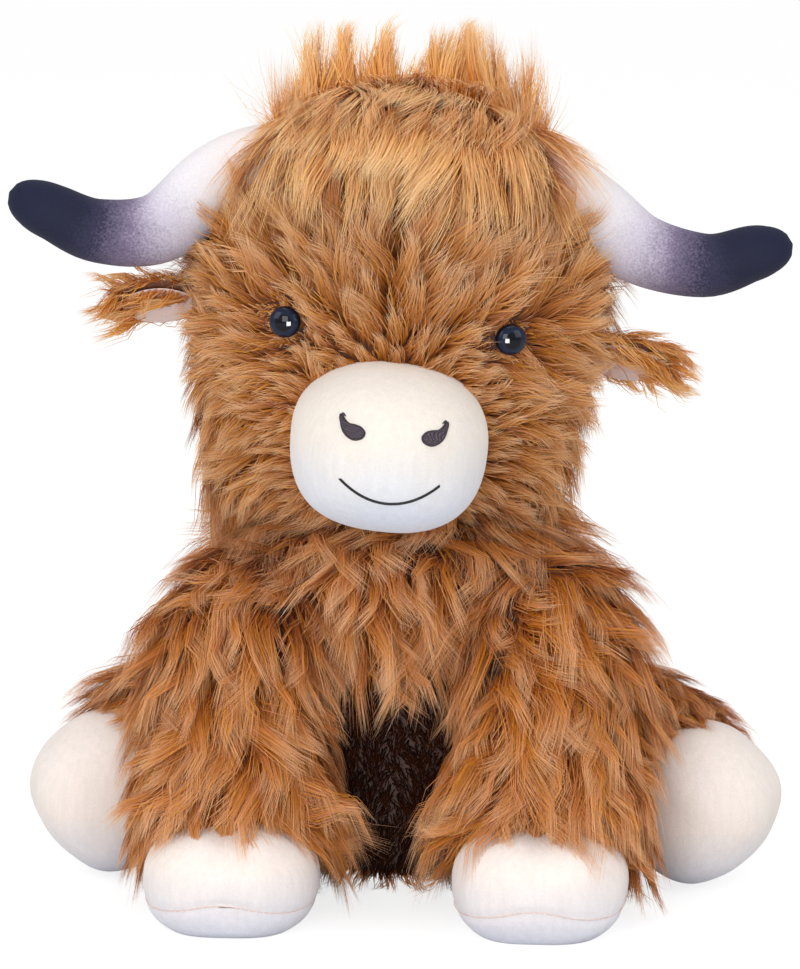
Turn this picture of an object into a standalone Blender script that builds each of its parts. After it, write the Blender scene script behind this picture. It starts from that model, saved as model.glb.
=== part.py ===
"""Seated plush Highland cow: fur and velour covers, their stuffing, and the seams that they move at.

Metres, +Z up, -Y is the cow's front, +X is the right of a viewer who faces the cow.
The origin is on the floor under the middle of the body, in the middle of the flat seat.
"""

import math

import bmesh
import bpy
from mathutils import Matrix, Quaternion, Vector

# Fits
FIT_GAP = 0.0003  # air between two covers that are sewn or pushed together
STUFFING_GAP = 0.0007  # air between a cover and its stuffing
BALL_MARGIN = 0.0015  # how far a limb starts inside its own ball
OVERRUN = 0.004  # how far a cut runs past the face that it opens
SWING_GAP = 0.0006  # air that a limb keeps from what it swings past

# Smoothness
BODY_SEGMENTS = 24
HEAD_SEGMENTS = 22
LIMB_SEGMENTS = 16
BALL_SEGMENTS = 18
CAVITY_SEGMENTS = 10
HOOF_SEGMENTS = 16
HORN_SEGMENTS = 12
HORN_CAVITY_SEGMENTS = 8
SMALL_SEGMENTS = 12
BALL_STEPS = 4
CAP_STEPS = 3
SPLINE_STEPS = 2
FORELOCK_LEVELS = 6
MUZZLE_LEVELS = 8
SHARP_ANGLE = math.radians(50)

# Cloth
FUR_THICKNESS = 0.012  # backing cloth with its brushed pile
VELOUR_THICKNESS = 0.0016
FILLING_MOUTH_SHARE = 0.33  # opening that a leg is filled through, as a share of its ball

# Body, a pear with a flat seat and a round top under the head
BODY_HEIGHT = 0.165
BODY_HALF_WIDTH = 0.080
BODY_FRONT = 0.060
BODY_BACK = 0.081
SHOULDER_HEIGHT = 0.132
SHOULDER_RADIUS = 0.067
NECK_Y = 0.005  # the upright axis that the head turns on
NECK_OPENING_RADIUS = 0.024
# Height as a share of the shoulder height, then half width, front and back as shares of theirs
BODY_LEVEL_SHARES = (
    (0.0, 0.76, 0.66, 0.74),
    (0.09, 0.92, 0.80, 0.91),
    (0.33, 1.0, 0.90, 1.0),
    (0.60, 0.965, 0.97, 0.965),
    (0.82, 0.91, 1.05, 0.91),
)
NECK_ARC_STEPS = 5

# Seat bag, pellets sewn in cotton that keep the cow sitting
SEAT_BAG_HEIGHT = 0.026
SEAT_BAG_WIDTH_SHARE = 0.44
SEAT_BAG_DEPTH_SHARE = 0.52
SEAT_BAG_ROUNDING_SHARE = 0.8

# Head, measured from its own middle, which is turned and tilted
HEAD_CENTRE = (-0.003, -0.012, 0.226)
HEAD_TILT = math.radians(4.7)
HEAD_YAW = math.radians(6.0)
HEAD_HALF_WIDTH = 0.083
HEAD_HALF_HEIGHT = 0.081
HEAD_FRONT = 0.076
HEAD_BACK = 0.075
HEAD_LEVEL_SHARES = (
    (-0.93, 0.52, 0.50, 0.52),
    (-0.76, 0.77, 0.73, 0.77),
    (-0.48, 0.93, 0.93, 0.94),
    (-0.12, 0.99, 1.0, 1.0),
    (0.22, 1.0, 0.97, 1.0),
    (0.52, 0.93, 0.86, 0.93),
    (0.77, 0.74, 0.67, 0.75),
    (0.93, 0.45, 0.41, 0.47),
)

# Forelock, the longer hair on the crown
FORELOCK_CENTRE = (0.0, -0.010, 0.070)
FORELOCK_HALF = (0.064, 0.050, 0.038)

# Muzzle, a stuffed velour pad on the face
MUZZLE_CENTRE = (0.0, -0.066, -0.0345)
MUZZLE_HALF = (0.0385, 0.052, 0.0325)
MUZZLE_SQUARENESS = 0.86
MUZZLE_WALL = 0.0022

# Embroidery on the muzzle
THREAD_HEIGHT = 0.0008
NOSTRIL_SPREAD = 0.0150
NOSTRIL_RISE = 0.0121
NOSTRIL_HALF_WIDTH = 0.0047
NOSTRIL_HALF_HEIGHT = 0.0037
NOSTRIL_TAIL_OUT = 0.0062
NOSTRIL_TAIL_UP = 0.0062
NOSTRIL_TAIL_NARROWING = 6  # the higher, the thinner the tail
NOSTRIL_STEPS = 14
MOUTH_HALF_WIDTH = 0.0178
MOUTH_RISE = -0.0070
MOUTH_SAG = 0.0072
MOUTH_THREAD = 0.0012
MOUTH_STEPS = 12

# Eyes, pushed through the cover and locked by a washer inside
EYE_SPREAD = 0.044
EYE_RISE = 0.010
EYE_RADIUS = 0.0062
EYE_DOME = 0.0048
EYE_SINK = 0.0030
EYE_RIM = 0.0010
SHANK_RADIUS = 0.0018
WASHER_RADIUS = 0.0075
WASHER_THICKNESS = 0.0014
WASHER_SEAT = 0.0012
SHANK_END = 0.0010

# Horns: out of the head, down and outward, then a rising tip that differs a little from side to side
HORN_ROOT_PATH = (
    (0.042, -0.002, 0.066),
    (0.061, -0.003, 0.062),
    (0.0763, -0.004, 0.0538),
)
HORN_TIP_PATHS = {
    "left": (
        (0.0960, -0.005, 0.0353),
        (0.1200, -0.007, 0.0324),
        (0.1380, -0.009, 0.0385),
        (0.1480, -0.0105, 0.0424),
    ),
    "right": (
        (0.0957, -0.005, 0.0416),
        (0.1210, -0.007, 0.0377),
        (0.1385, -0.009, 0.0440),
        (0.1465, -0.0105, 0.0468),
    ),
}
HORN_RADII = (0.0168, 0.0161, 0.0153, 0.0141, 0.0125, 0.0104, 0.0076)
HORN_TIP = 0.0050

# Ears, a fur leaf with a velour lining, sewn along the root
EAR_ROOT = (0.0838, 0.004, -0.003)
EAR_TILT = math.radians(48)
EAR_DROOP = math.radians(6)
EAR_LENGTH = 0.043
EAR_HALF_WIDTH = 0.0185
EAR_THICKNESS = 0.0070
EAR_ROOT_RADIUS = 0.0050
EAR_ROOT_HALF_LENGTH = 0.0110
EAR_LINING_THICKNESS = 0.0016
EAR_LINING_INSET = 0.0035
EAR_LINING_START = 0.0085
EAR_BED_SQUARENESS = 0.3
# Distance from the root as a share of the length, half width as a share of the half width
EAR_OUTLINE_SHARES = (
    (0.0, 0.60),
    (0.16, 0.84),
    (0.38, 1.0),
    (0.62, 0.90),
    (0.82, 0.62),
    (0.95, 0.28),
)

# Front legs, hanging from the shoulders to hooves on the floor
SHOULDER_BALL = (0.058, -0.034, 0.110)
SHOULDER_BALL_RADIUS = 0.038
FRONT_LEG_PATH = (
    (0.0620, -0.052, 0.076),
    (0.0640, -0.064, 0.044),
    (0.0650, -0.067, 0.020),
)
FRONT_LEG_HALF_WIDTHS = (0.0410, 0.0435, 0.0430)
FRONT_LEG_HALF_DEPTHS = (0.0375, 0.0380, 0.0360)
FRONT_LEG_END = 0.0150
FRONT_FILL_PATH = ((0.0625, -0.056, 0.070),)
FRONT_HOOF_CENTRE = (0.061, -0.082, 0.0190)
FRONT_HOOF_HALF = (0.0345, 0.0365, 0.0240)
FRONT_SEAM_HEIGHT = 0.0120
FRONT_SWING = math.radians(50)  # forward and up
FRONT_SWING_STEPS = 4

# Hind legs, lying out to the sides from round haunches
HIP_BALL = (0.074, 0.028, 0.0475)
HIP_BALL_RADIUS = 0.046
HIND_LEG_PATH = (
    (0.0970, 0.015, 0.0460),
    (0.1150, 0.004, 0.0420),
)
HIND_LEG_HALF_WIDTHS = (0.0425, 0.0375)
HIND_LEG_HALF_DEPTHS = (0.0420, 0.0370)
HIND_LEG_END = 0.0140
HIND_FILL_PATH = ((0.0860, 0.021, 0.0450),)
HIND_HOOF_CENTRE = (0.1200, -0.001, 0.0340)
HIND_HOOF_HALF = (0.0320, 0.0315, 0.0300)
HIND_SEAM_DEPTH = 0.0150
HIND_SOLE_WAY_SHARES = (0.74, -0.22, -0.62)  # out, forward and up that the sole faces
HIND_LIFT = math.radians(20)  # up from lying on the floor
HIND_LIFT_STEPS = 3
HOOF_SQUARENESS = 0.84
HOOF_RINGS = 7

# Tail, a strap with a tuft
TAIL_ROOT = (0.0, 0.0875, 0.062)
TAIL_BALL_RADIUS = 0.0055
TAIL_PATH = ((0.0, 0.0975, 0.053), (0.0, 0.1020, 0.040))
TAIL_STRAP_RADIUS = 0.0042
TAIL_STRAP_END = 0.0030
TUFT_CENTRE = (0.0, 0.1025, 0.0215)
TUFT_HALF = (0.0120, 0.0100, 0.0180)

# Materials: colour, roughness, metallic
FUR_LOOK = ((0.42, 0.19, 0.055, 1.0), 0.9, 0.0)
FORELOCK_LOOK = ((0.55, 0.24, 0.065, 1.0), 0.85, 0.0)
VELOUR_LOOK = ((0.86, 0.78, 0.74, 1.0), 0.8, 0.0)
LINING_LOOK = ((0.84, 0.68, 0.64, 1.0), 0.8, 0.0)
HORN_LOOK = ((0.62, 0.56, 0.66, 1.0), 0.75, 0.0)
THREAD_LOOK = ((0.05, 0.025, 0.03, 1.0), 0.6, 0.0)
EYE_LOOK = ((0.01, 0.012, 0.02, 1.0), 0.06, 0.0)
WASHER_LOOK = ((0.75, 0.75, 0.74, 1.0), 0.4, 0.0)
FIBRE_LOOK = ((0.88, 0.88, 0.86, 1.0), 0.95, 0.0)
COTTON_LOOK = ((0.72, 0.68, 0.6, 1.0), 0.9, 0.0)

SIDES = (("left", -1), ("right", 1))


def clear_scene():
    for thing in list(bpy.data.objects):
        bpy.data.objects.remove(thing, do_unlink=True)


def finish_look(name, look):
    colour, roughness, metallic = look
    material = bpy.data.materials.new(name)
    material.use_nodes = True
    shader = material.node_tree.nodes["Principled BSDF"]
    shader.inputs["Base Color"].default_value = colour
    shader.inputs["Roughness"].default_value = roughness
    shader.inputs["Metallic"].default_value = metallic
    material.diffuse_color = colour
    return material


def add_empty(name, location, parent=None):
    empty = bpy.data.objects.new(name, None)
    bpy.context.collection.objects.link(empty)
    empty.parent = parent
    empty.location = location
    return empty


def add_piece(name, bm, parent, look=None):
    """Makes an object of a mesh that is written in its parent's frame. Without a look it is a cutter."""
    bmesh.ops.recalc_face_normals(bm, faces=bm.faces[:])
    mesh = bpy.data.meshes.new(name)
    bm.to_mesh(mesh)
    bm.free()
    mesh.shade_smooth()
    mesh.set_sharp_from_angle(angle=SHARP_ANGLE)
    piece = bpy.data.objects.new(name, mesh)
    bpy.context.collection.objects.link(piece)
    piece.parent = parent
    if look:
        mesh.materials.append(finish_look(name, look))
    else:
        piece.hide_render = True
        piece.display_type = "WIRE"
    return piece


def shape_with(piece, operation, *others, solver="EXACT"):
    for other in others:
        step = piece.modifiers.new(operation.title() + " " + other.name, "BOOLEAN")
        step.operation = operation
        step.solver = solver
        step.object = other
    return piece


def cut(piece, *cutters, solver="EXACT"):
    return shape_with(piece, "DIFFERENCE", *cutters, solver=solver)


def ring_form(rings, low_pole=None, high_pole=None):
    """A closed skin over rings of equal count, with a point or a flat face at each end."""
    bm = bmesh.new()
    loops = [[bm.verts.new(point) for point in ring] for ring in rings]
    count = len(loops[0])
    for low, high in zip(loops, loops[1:]):
        for i in range(count):
            j = (i + 1) % count
            bm.faces.new((low[i], low[j], high[j], high[i]))
    for loop, pole in ((loops[0], low_pole), (loops[-1], high_pole)):
        if pole is None:
            bm.faces.new(loop)
        else:
            tip = bm.verts.new(pole)
            for i in range(count):
                bm.faces.new((loop[i], loop[(i + 1) % count], tip))
    return bm


def spline_rows(rows, steps=SPLINE_STEPS):
    """Smooth rows of numbers through the given ones."""
    smooth = []
    for i in range(len(rows) - 1):
        before = rows[max(i - 1, 0)]
        start = rows[i]
        end = rows[i + 1]
        after = rows[min(i + 2, len(rows) - 1)]
        for step in range(steps):
            t = step / steps
            row = []
            for p0, p1, p2, p3 in zip(before, start, end, after):
                bend = 2 * p0 - 5 * p1 + 4 * p2 - p3
                twist = 3 * p1 - p0 - 3 * p2 + p3
                row.append(p1 + (t * (p2 - p0) + t * t * bend + t * t * t * twist) / 2)
            smooth.append(tuple(row))
    smooth.append(tuple(rows[-1]))
    return smooth


def egg_ring(height, half_width, front, back, centre_y, segments):
    ring = []
    for i in range(segments):
        angle = math.tau * i / segments
        depth = back if math.sin(angle) > 0 else front
        ring.append((half_width * math.cos(angle), centre_y + depth * math.sin(angle), height))
    return ring


def body_rings(extra=0.0, segments=BODY_SEGMENTS, turning=False):
    """Rings of the body, moved out by extra. A turning form clears every corner of the body's own."""
    half_width = BODY_HALF_WIDTH + extra
    front = BODY_FRONT + extra
    back = BODY_BACK + extra
    shoulder = SHOULDER_RADIUS + extra
    base = -extra
    rows = [
        (base + height * (SHOULDER_HEIGHT - base), wide * half_width, near * front, far * back)
        for height, wide, near, far in BODY_LEVEL_SHARES
    ]
    rows.append((SHOULDER_HEIGHT, shoulder, shoulder, shoulder))
    rows = spline_rows(rows)
    dome = BODY_HEIGHT + extra - SHOULDER_HEIGHT
    for step in range(1, NECK_ARC_STEPS):
        angle = math.pi / 2 * step / NECK_ARC_STEPS
        radius = shoulder * math.cos(angle)
        rows.append((SHOULDER_HEIGHT + dome * math.sin(angle), radius, radius, radius))
    grow = 1 / math.cos(math.pi / segments) if turning else 1.0
    rings = [
        egg_ring(row[0], row[1] * grow, row[2] * grow, row[3] * grow, NECK_Y, segments) for row in rows
    ]
    return rings, (0, NECK_Y, BODY_HEIGHT + extra)


def body_form(extra=0.0, segments=BODY_SEGMENTS, turning=False):
    rings, top = body_rings(extra, segments, turning)
    return ring_form(rings, None, top)


def head_rows(extra=0.0):
    high = HEAD_HALF_HEIGHT + extra
    rows = [
        (
            height * high,
            wide * (HEAD_HALF_WIDTH + extra),
            near * (HEAD_FRONT + extra),
            far * (HEAD_BACK + extra),
        )
        for height, wide, near, far in HEAD_LEVEL_SHARES
    ]
    return spline_rows(rows)


def head_form(extra=0.0, segments=HEAD_SEGMENTS):
    rings = [egg_ring(*row, 0, segments) for row in head_rows(extra)]
    high = HEAD_HALF_HEIGHT + extra
    return ring_form(rings, (0, 0, -high), (0, 0, high))


def face_point(x, z):
    """A point on the head's front, and the way that the face looks there."""
    rows = head_rows()
    for low, high in zip(rows, rows[1:]):
        if low[0] <= z <= high[0]:
            share = (z - low[0]) / (high[0] - low[0])
            half_width = low[1] + share * (high[1] - low[1])
            front = low[2] + share * (high[2] - low[2])
    y = -front * math.sqrt(1 - (x / half_width) ** 2)
    looks = Vector((x / half_width**2, y / front**2, 0)).normalized()
    return Vector((x, y, z)), looks


def power(value, exponent):
    return math.copysign(abs(value) ** exponent, value)


def pad_form(centre, half, squareness, segments, rings, low=None, high=None, frame=None, extra=0.0):
    """A stuffed pad that is rounder or squarer than an egg, cut flat at low or high in its own height."""
    grown = [size + extra for size in half]
    start = -math.pi / 2 if low is None else math.asin(power(low / grown[2], 1 / squareness))
    end = math.pi / 2 if high is None else math.asin(power(high / grown[2], 1 / squareness))
    place = Matrix.Translation(centre) @ (frame.to_4x4() if frame else Matrix.Identity(4))
    first = 1 if low is None else 0
    last = rings if high is None else rings + 1
    loops = []
    for i in range(first, last):
        lift = start + (end - start) * i / rings
        wide = power(math.cos(lift), squareness)
        ring = []
        for k in range(segments):
            angle = math.tau * k / segments
            ring.append(
                place
                @ Vector(
                    (
                        grown[0] * wide * power(math.cos(angle), squareness),
                        grown[1] * wide * power(math.sin(angle), squareness),
                        grown[2] * power(math.sin(lift), squareness),
                    )
                )
            )
        loops.append(ring)
    bottom = place @ Vector((0, 0, -grown[2])) if low is None else None
    top = place @ Vector((0, 0, grown[2])) if high is None else None
    return ring_form(loops, bottom, top)


def limb_form(ball, radius, path, halves_a, halves_b, end, side, segments, extra=0.0):
    """A stuffed limb that starts as a ball on its joint and follows a path to a rounded end."""
    stations = [(*ball, radius, radius)]
    stations += [(*point, a, b) for point, a, b in zip(path, halves_a, halves_b)]
    rows = spline_rows(stations)
    centres = [Vector((side * row[0], row[1], row[2])) for row in rows]
    ways = []
    for i in range(len(centres)):
        before = centres[max(i - 1, 0)]
        after = centres[min(i + 1, len(centres) - 1)]
        ways.append((after - before).normalized())
    rings = []

    def add_ring(centre, way, half_a, half_b):
        level = Vector((way.y, -way.x, 0))
        across = Vector((1, 0, 0)) if abs(way.z) > abs(way.x) else level.normalized()
        across = (across - across.dot(way) * way).normalized()
        along = way.cross(across)
        ring = []
        for i in range(segments):
            angle = math.tau * i / segments
            ring.append(centre + half_a * math.cos(angle) * across + half_b * math.sin(angle) * along)
        rings.append(ring)

    ball_radius = radius + extra
    for step in range(1, BALL_STEPS):
        angle = math.pi / 2 * step / BALL_STEPS
        around = ball_radius * math.sin(angle)
        add_ring(centres[0] - ways[0] * ball_radius * math.cos(angle), ways[0], around, around)
    for row, centre, way in zip(rows, centres, ways):
        add_ring(centre, way, row[3] + extra, row[4] + extra)
    cap = end + extra
    for step in range(1, CAP_STEPS):
        angle = math.pi / 2 * step / CAP_STEPS
        shrink = math.cos(angle)
        row = rows[-1]
        centre = centres[-1] + ways[-1] * cap * math.sin(angle)
        add_ring(centre, ways[-1], (row[3] + extra) * shrink, (row[4] + extra) * shrink)
    start = centres[0] - ways[0] * ball_radius
    return ring_form(rings, start, centres[-1] + ways[-1] * cap)


def ball_form(centre, radius, segments=BALL_SEGMENTS):
    bm = bmesh.new()
    place = Matrix.Translation(centre)
    bmesh.ops.create_uvsphere(
        bm, u_segments=segments, v_segments=segments // 2, radius=radius, matrix=place
    )
    return bm


def rod_form(start, end, radius, segments=SMALL_SEGMENTS):
    start = Vector(start)
    end = Vector(end)
    way = (end - start).normalized()
    across = way.orthogonal().normalized()
    along = way.cross(across)
    rings = []
    for centre in (start, end):
        ring = []
        for i in range(segments):
            angle = math.tau * i / segments
            ring.append(centre + radius * (math.cos(angle) * across + math.sin(angle) * along))
        rings.append(ring)
    return ring_form(rings)


def socket_radius(ball_radius, segments=BALL_SEGMENTS):
    """A socket that the ball turns in with the fit gap, flats of both meshes counted."""
    flats = math.cos(math.pi / segments) ** 2
    return (ball_radius + FIT_GAP) / flats


def mirrored(point, side):
    return Vector((side * point[0], point[1], point[2]))


def make_body(limb_sockets, tail_socket):
    cover = add_piece("body_cover", body_form(), None, FUR_LOOK)
    cavity = add_piece("body_cavity", body_form(-FUR_THICKNESS, CAVITY_SEGMENTS), None)
    top = BODY_HEIGHT + OVERRUN
    low = BODY_HEIGHT - FUR_THICKNESS - OVERRUN
    neck = rod_form((0, NECK_Y, low), (0, NECK_Y, top), NECK_OPENING_RADIUS)
    opening = add_piece("neck_opening", neck, None)
    cut(cover, cavity, opening, *limb_sockets, tail_socket)

    filling_extra = -FUR_THICKNESS - STUFFING_GAP
    filling = add_piece("body_filling", body_form(filling_extra, CAVITY_SEGMENTS), None, FIBRE_LOOK)
    floor = FUR_THICKNESS + STUFFING_GAP
    wide = BODY_HALF_WIDTH * SEAT_BAG_WIDTH_SHARE
    deep = BODY_FRONT * SEAT_BAG_DEPTH_SHARE
    half = (wide, deep, SEAT_BAG_HEIGHT / 2)
    middle_y = NECK_Y + (BODY_BACK - BODY_FRONT) / 2
    centre = (0, middle_y, floor + SEAT_BAG_HEIGHT / 2 + FIT_GAP)
    bag = pad_form(centre, half, SEAT_BAG_ROUNDING_SHARE, CAVITY_SEGMENTS, BALL_STEPS)
    seat_bag = add_piece("seat_pellet_bag", bag, None, COTTON_LOOK)
    pocket = pad_form(
        centre, half, SEAT_BAG_ROUNDING_SHARE, CAVITY_SEGMENTS, BALL_STEPS, extra=FIT_GAP
    )
    pocket_cutter = add_piece("seat_bag_pocket", pocket, None)
    cut(seat_bag, *limb_sockets)
    cut(filling, pocket_cutter, *limb_sockets)


def make_head(head):
    cover = add_piece("head_cover", head_form(), head, FUR_LOOK)
    cavity = add_piece("head_cavity", head_form(-FUR_THICKNESS, CAVITY_SEGMENTS), head)
    dome = add_piece("neck_dome", body_form(FIT_GAP, turning=True), None)
    cut(cover, cavity, dome)
    filling_form = head_form(-FUR_THICKNESS - STUFFING_GAP, CAVITY_SEGMENTS)
    filling = add_piece("head_filling", filling_form, head, FIBRE_LOOK)
    cut(filling, dome)
    return cover, filling


def make_forelock(head, head_skin, horn_skins):
    form = pad_form(FORELOCK_CENTRE, FORELOCK_HALF, 1.0, HEAD_SEGMENTS, FORELOCK_LEVELS)
    forelock = add_piece("forelock", form, head, FORELOCK_LOOK)
    cut(forelock, head_skin, *horn_skins)


def muzzle_form(extra=0.0):
    return pad_form(
        MUZZLE_CENTRE, MUZZLE_HALF, MUZZLE_SQUARENESS, LIMB_SEGMENTS, MUZZLE_LEVELS, extra=extra
    )


def outline_prism(points, near, far):
    """A flat outline in X and Z, pulled through the muzzle from front to back."""
    front = [(x, near, z) for x, z in points]
    back = [(x, far, z) for x, z in points]
    return ring_form([front, back])


def nostril_outline(side):
    """A teardrop with its tail up and outward."""
    points = []
    middle_x = side * NOSTRIL_SPREAD
    middle_z = MUZZLE_CENTRE[2] + NOSTRIL_RISE
    for i in range(NOSTRIL_STEPS):
        angle = math.tau * i / NOSTRIL_STEPS
        toward_tail = max(0.0, math.cos(angle - math.pi / 4)) ** NOSTRIL_TAIL_NARROWING
        out = NOSTRIL_HALF_WIDTH * math.cos(angle) + NOSTRIL_TAIL_OUT * toward_tail
        up = NOSTRIL_HALF_HEIGHT * math.sin(angle) + NOSTRIL_TAIL_UP * toward_tail
        points.append((middle_x + side * out, middle_z + up))
    return points


def mouth_outline():
    """A smile of one thread's width."""
    lower = []
    upper = []
    for i in range(MOUTH_STEPS + 1):
        share = 2 * i / MOUTH_STEPS - 1
        x = MOUTH_HALF_WIDTH * share
        z = MUZZLE_CENTRE[2] + MOUTH_RISE - MOUTH_SAG * (1 - share * share)
        slope = math.atan2(2 * MOUTH_SAG * share, MOUTH_HALF_WIDTH)
        shift_x = -math.sin(slope) * MOUTH_THREAD / 2
        shift_z = math.cos(slope) * MOUTH_THREAD / 2
        upper.append((x + shift_x, z + shift_z))
        lower.append((x - shift_x, z - shift_z))
    return lower + upper[::-1]


def make_muzzle(head, head_skin):
    cover = add_piece("muzzle_cover", muzzle_form(), head, VELOUR_LOOK)
    inside = add_piece("muzzle_inside", muzzle_form(-MUZZLE_WALL), head)
    filling = add_piece("muzzle_filling", muzzle_form(-MUZZLE_WALL - STUFFING_GAP), head, FIBRE_LOOK)
    cut(cover, head_skin, inside)
    cut(filling, head_skin)

    seat = add_piece("thread_seat", muzzle_form(FIT_GAP), head)
    reach = add_piece("thread_reach", muzzle_form(FIT_GAP + THREAD_HEIGHT), head)
    near = MUZZLE_CENTRE[1] - MUZZLE_HALF[1] - OVERRUN
    outlines = [("nostril_" + name, nostril_outline(side)) for name, side in SIDES]
    outlines.append(("mouth_stitching", mouth_outline()))
    for name, outline in outlines:
        stitched = add_piece(name, outline_prism(outline, near, MUZZLE_CENTRE[1]), head, THREAD_LOOK)
        shape_with(stitched, "INTERSECT", reach)
        cut(stitched, seat)


def make_eye(name, side, head, cover, filling):
    surface, looks = face_point(side * EYE_SPREAD, EYE_RISE)
    base = surface - looks * EYE_SINK
    place = Matrix.Translation(base) @ looks.to_track_quat("Z", "Y").to_matrix().to_4x4()
    washer_near = -(FUR_THICKNESS - EYE_SINK + WASHER_SEAT)
    washer_far = washer_near - WASHER_THICKNESS
    profile = [(SHANK_RADIUS, washer_far - SHANK_END), (SHANK_RADIUS, 0), (EYE_RADIUS, 0)]
    profile.append((EYE_RADIUS, EYE_RIM))
    for step in range(1, CAP_STEPS):
        angle = math.pi / 2 * step / CAP_STEPS
        rise = EYE_RIM + (EYE_DOME - EYE_RIM) * math.sin(angle)
        profile.append((EYE_RADIUS * math.cos(angle), rise))
    rings = []
    for radius, height in profile:
        ring = []
        for i in range(SMALL_SEGMENTS):
            angle = math.tau * i / SMALL_SEGMENTS
            ring.append(place @ Vector((radius * math.cos(angle), radius * math.sin(angle), height)))
        rings.append(ring)
    eye = ring_form(rings, None, place @ Vector((0, 0, EYE_DOME)))
    add_piece("eye_" + name, eye, head, EYE_LOOK)

    def rod(low, high, radius):
        return rod_form(place @ Vector((0, 0, low)), place @ Vector((0, 0, high)), radius)

    shank_hole = rod(washer_far - SHANK_END - FIT_GAP, 0, SHANK_RADIUS + FIT_GAP)
    hole = add_piece("shank_hole_" + name, shank_hole, head)
    seat = rod(-FIT_GAP, EYE_SINK + OVERRUN, EYE_RADIUS + FIT_GAP)
    socket = add_piece("eye_socket_" + name, seat, head)
    face_form = rod(washer_far - FIT_GAP, washer_near + FIT_GAP, WASHER_RADIUS + FIT_GAP)
    washer_face = add_piece("washer_face_" + name, face_form, head)
    cut(cover, socket, hole, washer_face)

    washer = rod(washer_far, washer_near, WASHER_RADIUS)
    washer_piece = add_piece("eye_washer_" + name, washer, head, WASHER_LOOK)
    cut(washer_piece, hole)
    pocket = rod(washer_far - FIT_GAP, OVERRUN - FUR_THICKNESS, WASHER_RADIUS + FIT_GAP)
    pocket_cutter = add_piece("washer_pocket_" + name, pocket, head)
    cut(filling, pocket_cutter, hole)


def horn_form(name, side, extra=0.0, segments=HORN_SEGMENTS, lead=0.0):
    """A horn along its path. Lead runs its root further into the head."""
    path = HORN_ROOT_PATH + HORN_TIP_PATHS[name]
    rows = [(*point, radius + extra) for point, radius in zip(path, HORN_RADII)]
    first = rows[0]
    if lead:
        rows.insert(0, (first[0] - lead, first[1], first[2], first[3]))
    rows = spline_rows(rows)
    centres = [mirrored(row, side) for row in rows]
    rings = []
    for i in range(len(centres)):
        before = centres[max(i - 1, 0)]
        after = centres[min(i + 1, len(centres) - 1)]
        way = (after - before).normalized()
        across = Vector((0, 1, 0))
        across = (across - across.dot(way) * way).normalized()
        along = way.cross(across)
        radius = rows[i][3]
        ring = []
        for k in range(segments):
            angle = math.tau * k / segments
            ring.append(centres[i] + radius * (math.cos(angle) * across + math.sin(angle) * along))
        rings.append(ring)
    tip = HORN_TIP + extra
    for step in range(1, CAP_STEPS):
        angle = math.pi / 2 * step / CAP_STEPS
        centre = centres[-1] + way * tip * math.sin(angle)
        around = radius * math.cos(angle)
        ring = []
        for k in range(segments):
            turn = math.tau * k / segments
            ring.append(centre + around * (math.cos(turn) * across + math.sin(turn) * along))
        rings.append(ring)
    return ring_form(rings, None, centres[-1] + way * tip)


def make_horn(name, side, head, head_skin):
    cover = add_piece("horn_" + name, horn_form(name, side), head, HORN_LOOK)
    inside_form = horn_form(name, side, -VELOUR_THICKNESS, HORN_CAVITY_SEGMENTS, OVERRUN)
    inside = add_piece("horn_inside_" + name, inside_form, head)
    cut(cover, inside, head_skin)
    filling_form = horn_form(name, side, -VELOUR_THICKNESS - STUFFING_GAP, HORN_CAVITY_SEGMENTS)
    filling = add_piece("horn_filling_" + name, filling_form, head, FIBRE_LOOK)
    cut(filling, head_skin)
    return add_piece("horn_skin_" + name, horn_form(name, side, FIT_GAP), head)


def ear_leaf(start, inset, low, high, domed):
    """A leaf in the ear's own frame: X from the root to the tip, Y across, Z toward the fur side."""
    rows = EAR_OUTLINE_SHARES
    middle = (low + high) / 2
    reach = (high - low) / 2
    rings = []
    for share, wide in rows:
        x = start + share * (EAR_LENGTH - inset - start)
        half = max(wide * EAR_HALF_WIDTH - inset, inset / 2)
        ring = []
        for i in range(SMALL_SEGMENTS):
            angle = math.tau * i / SMALL_SEGMENTS
            lift = math.sin(angle) if domed else power(math.sin(angle), EAR_BED_SQUARENESS)
            ring.append((x, half * math.cos(angle), middle + reach * lift))
        rings.append(ring)
    return ring_form(rings, None, (EAR_LENGTH - inset, 0, middle))


def make_ear(name, side, ear_frame, head_cover):
    half = EAR_THICKNESS / 2
    back = add_piece("ear_back_" + name, ear_leaf(0, 0, -half, half, True), ear_frame, FUR_LOOK)
    ends = ((0, -EAR_ROOT_HALF_LENGTH, 0), (0, EAR_ROOT_HALF_LENGTH, 0))
    root = add_piece("ear_root_" + name, rod_form(*ends, EAR_ROOT_RADIUS), ear_frame)
    shape_with(back, "UNION", root)

    hollow_low = -EAR_THICKNESS
    hollow_high = EAR_LINING_THICKNESS - half
    lining_form = ear_leaf(EAR_LINING_START, EAR_LINING_INSET, hollow_low, hollow_high, False)
    bed_form = ear_leaf(
        EAR_LINING_START - FIT_GAP, EAR_LINING_INSET - FIT_GAP, hollow_low, hollow_high + FIT_GAP, False
    )
    bed = add_piece("ear_bed_" + name, bed_form, ear_frame)
    lining = add_piece("ear_lining_" + name, lining_form, ear_frame, LINING_LOOK)
    rim = add_piece("ear_rim_" + name, ear_leaf(0, 0, -half, half, True), ear_frame)
    shape_with(lining, "INTERSECT", rim)
    cut(back, bed)

    groove_radius = (EAR_ROOT_RADIUS + FIT_GAP) / math.cos(math.pi / SMALL_SEGMENTS)
    reach = EAR_ROOT_HALF_LENGTH + FIT_GAP
    groove_form = rod_form((0, -reach, 0), (0, reach, 0), groove_radius)
    groove = add_piece("ear_groove_" + name, groove_form, ear_frame)
    cut(head_cover, groove)


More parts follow.
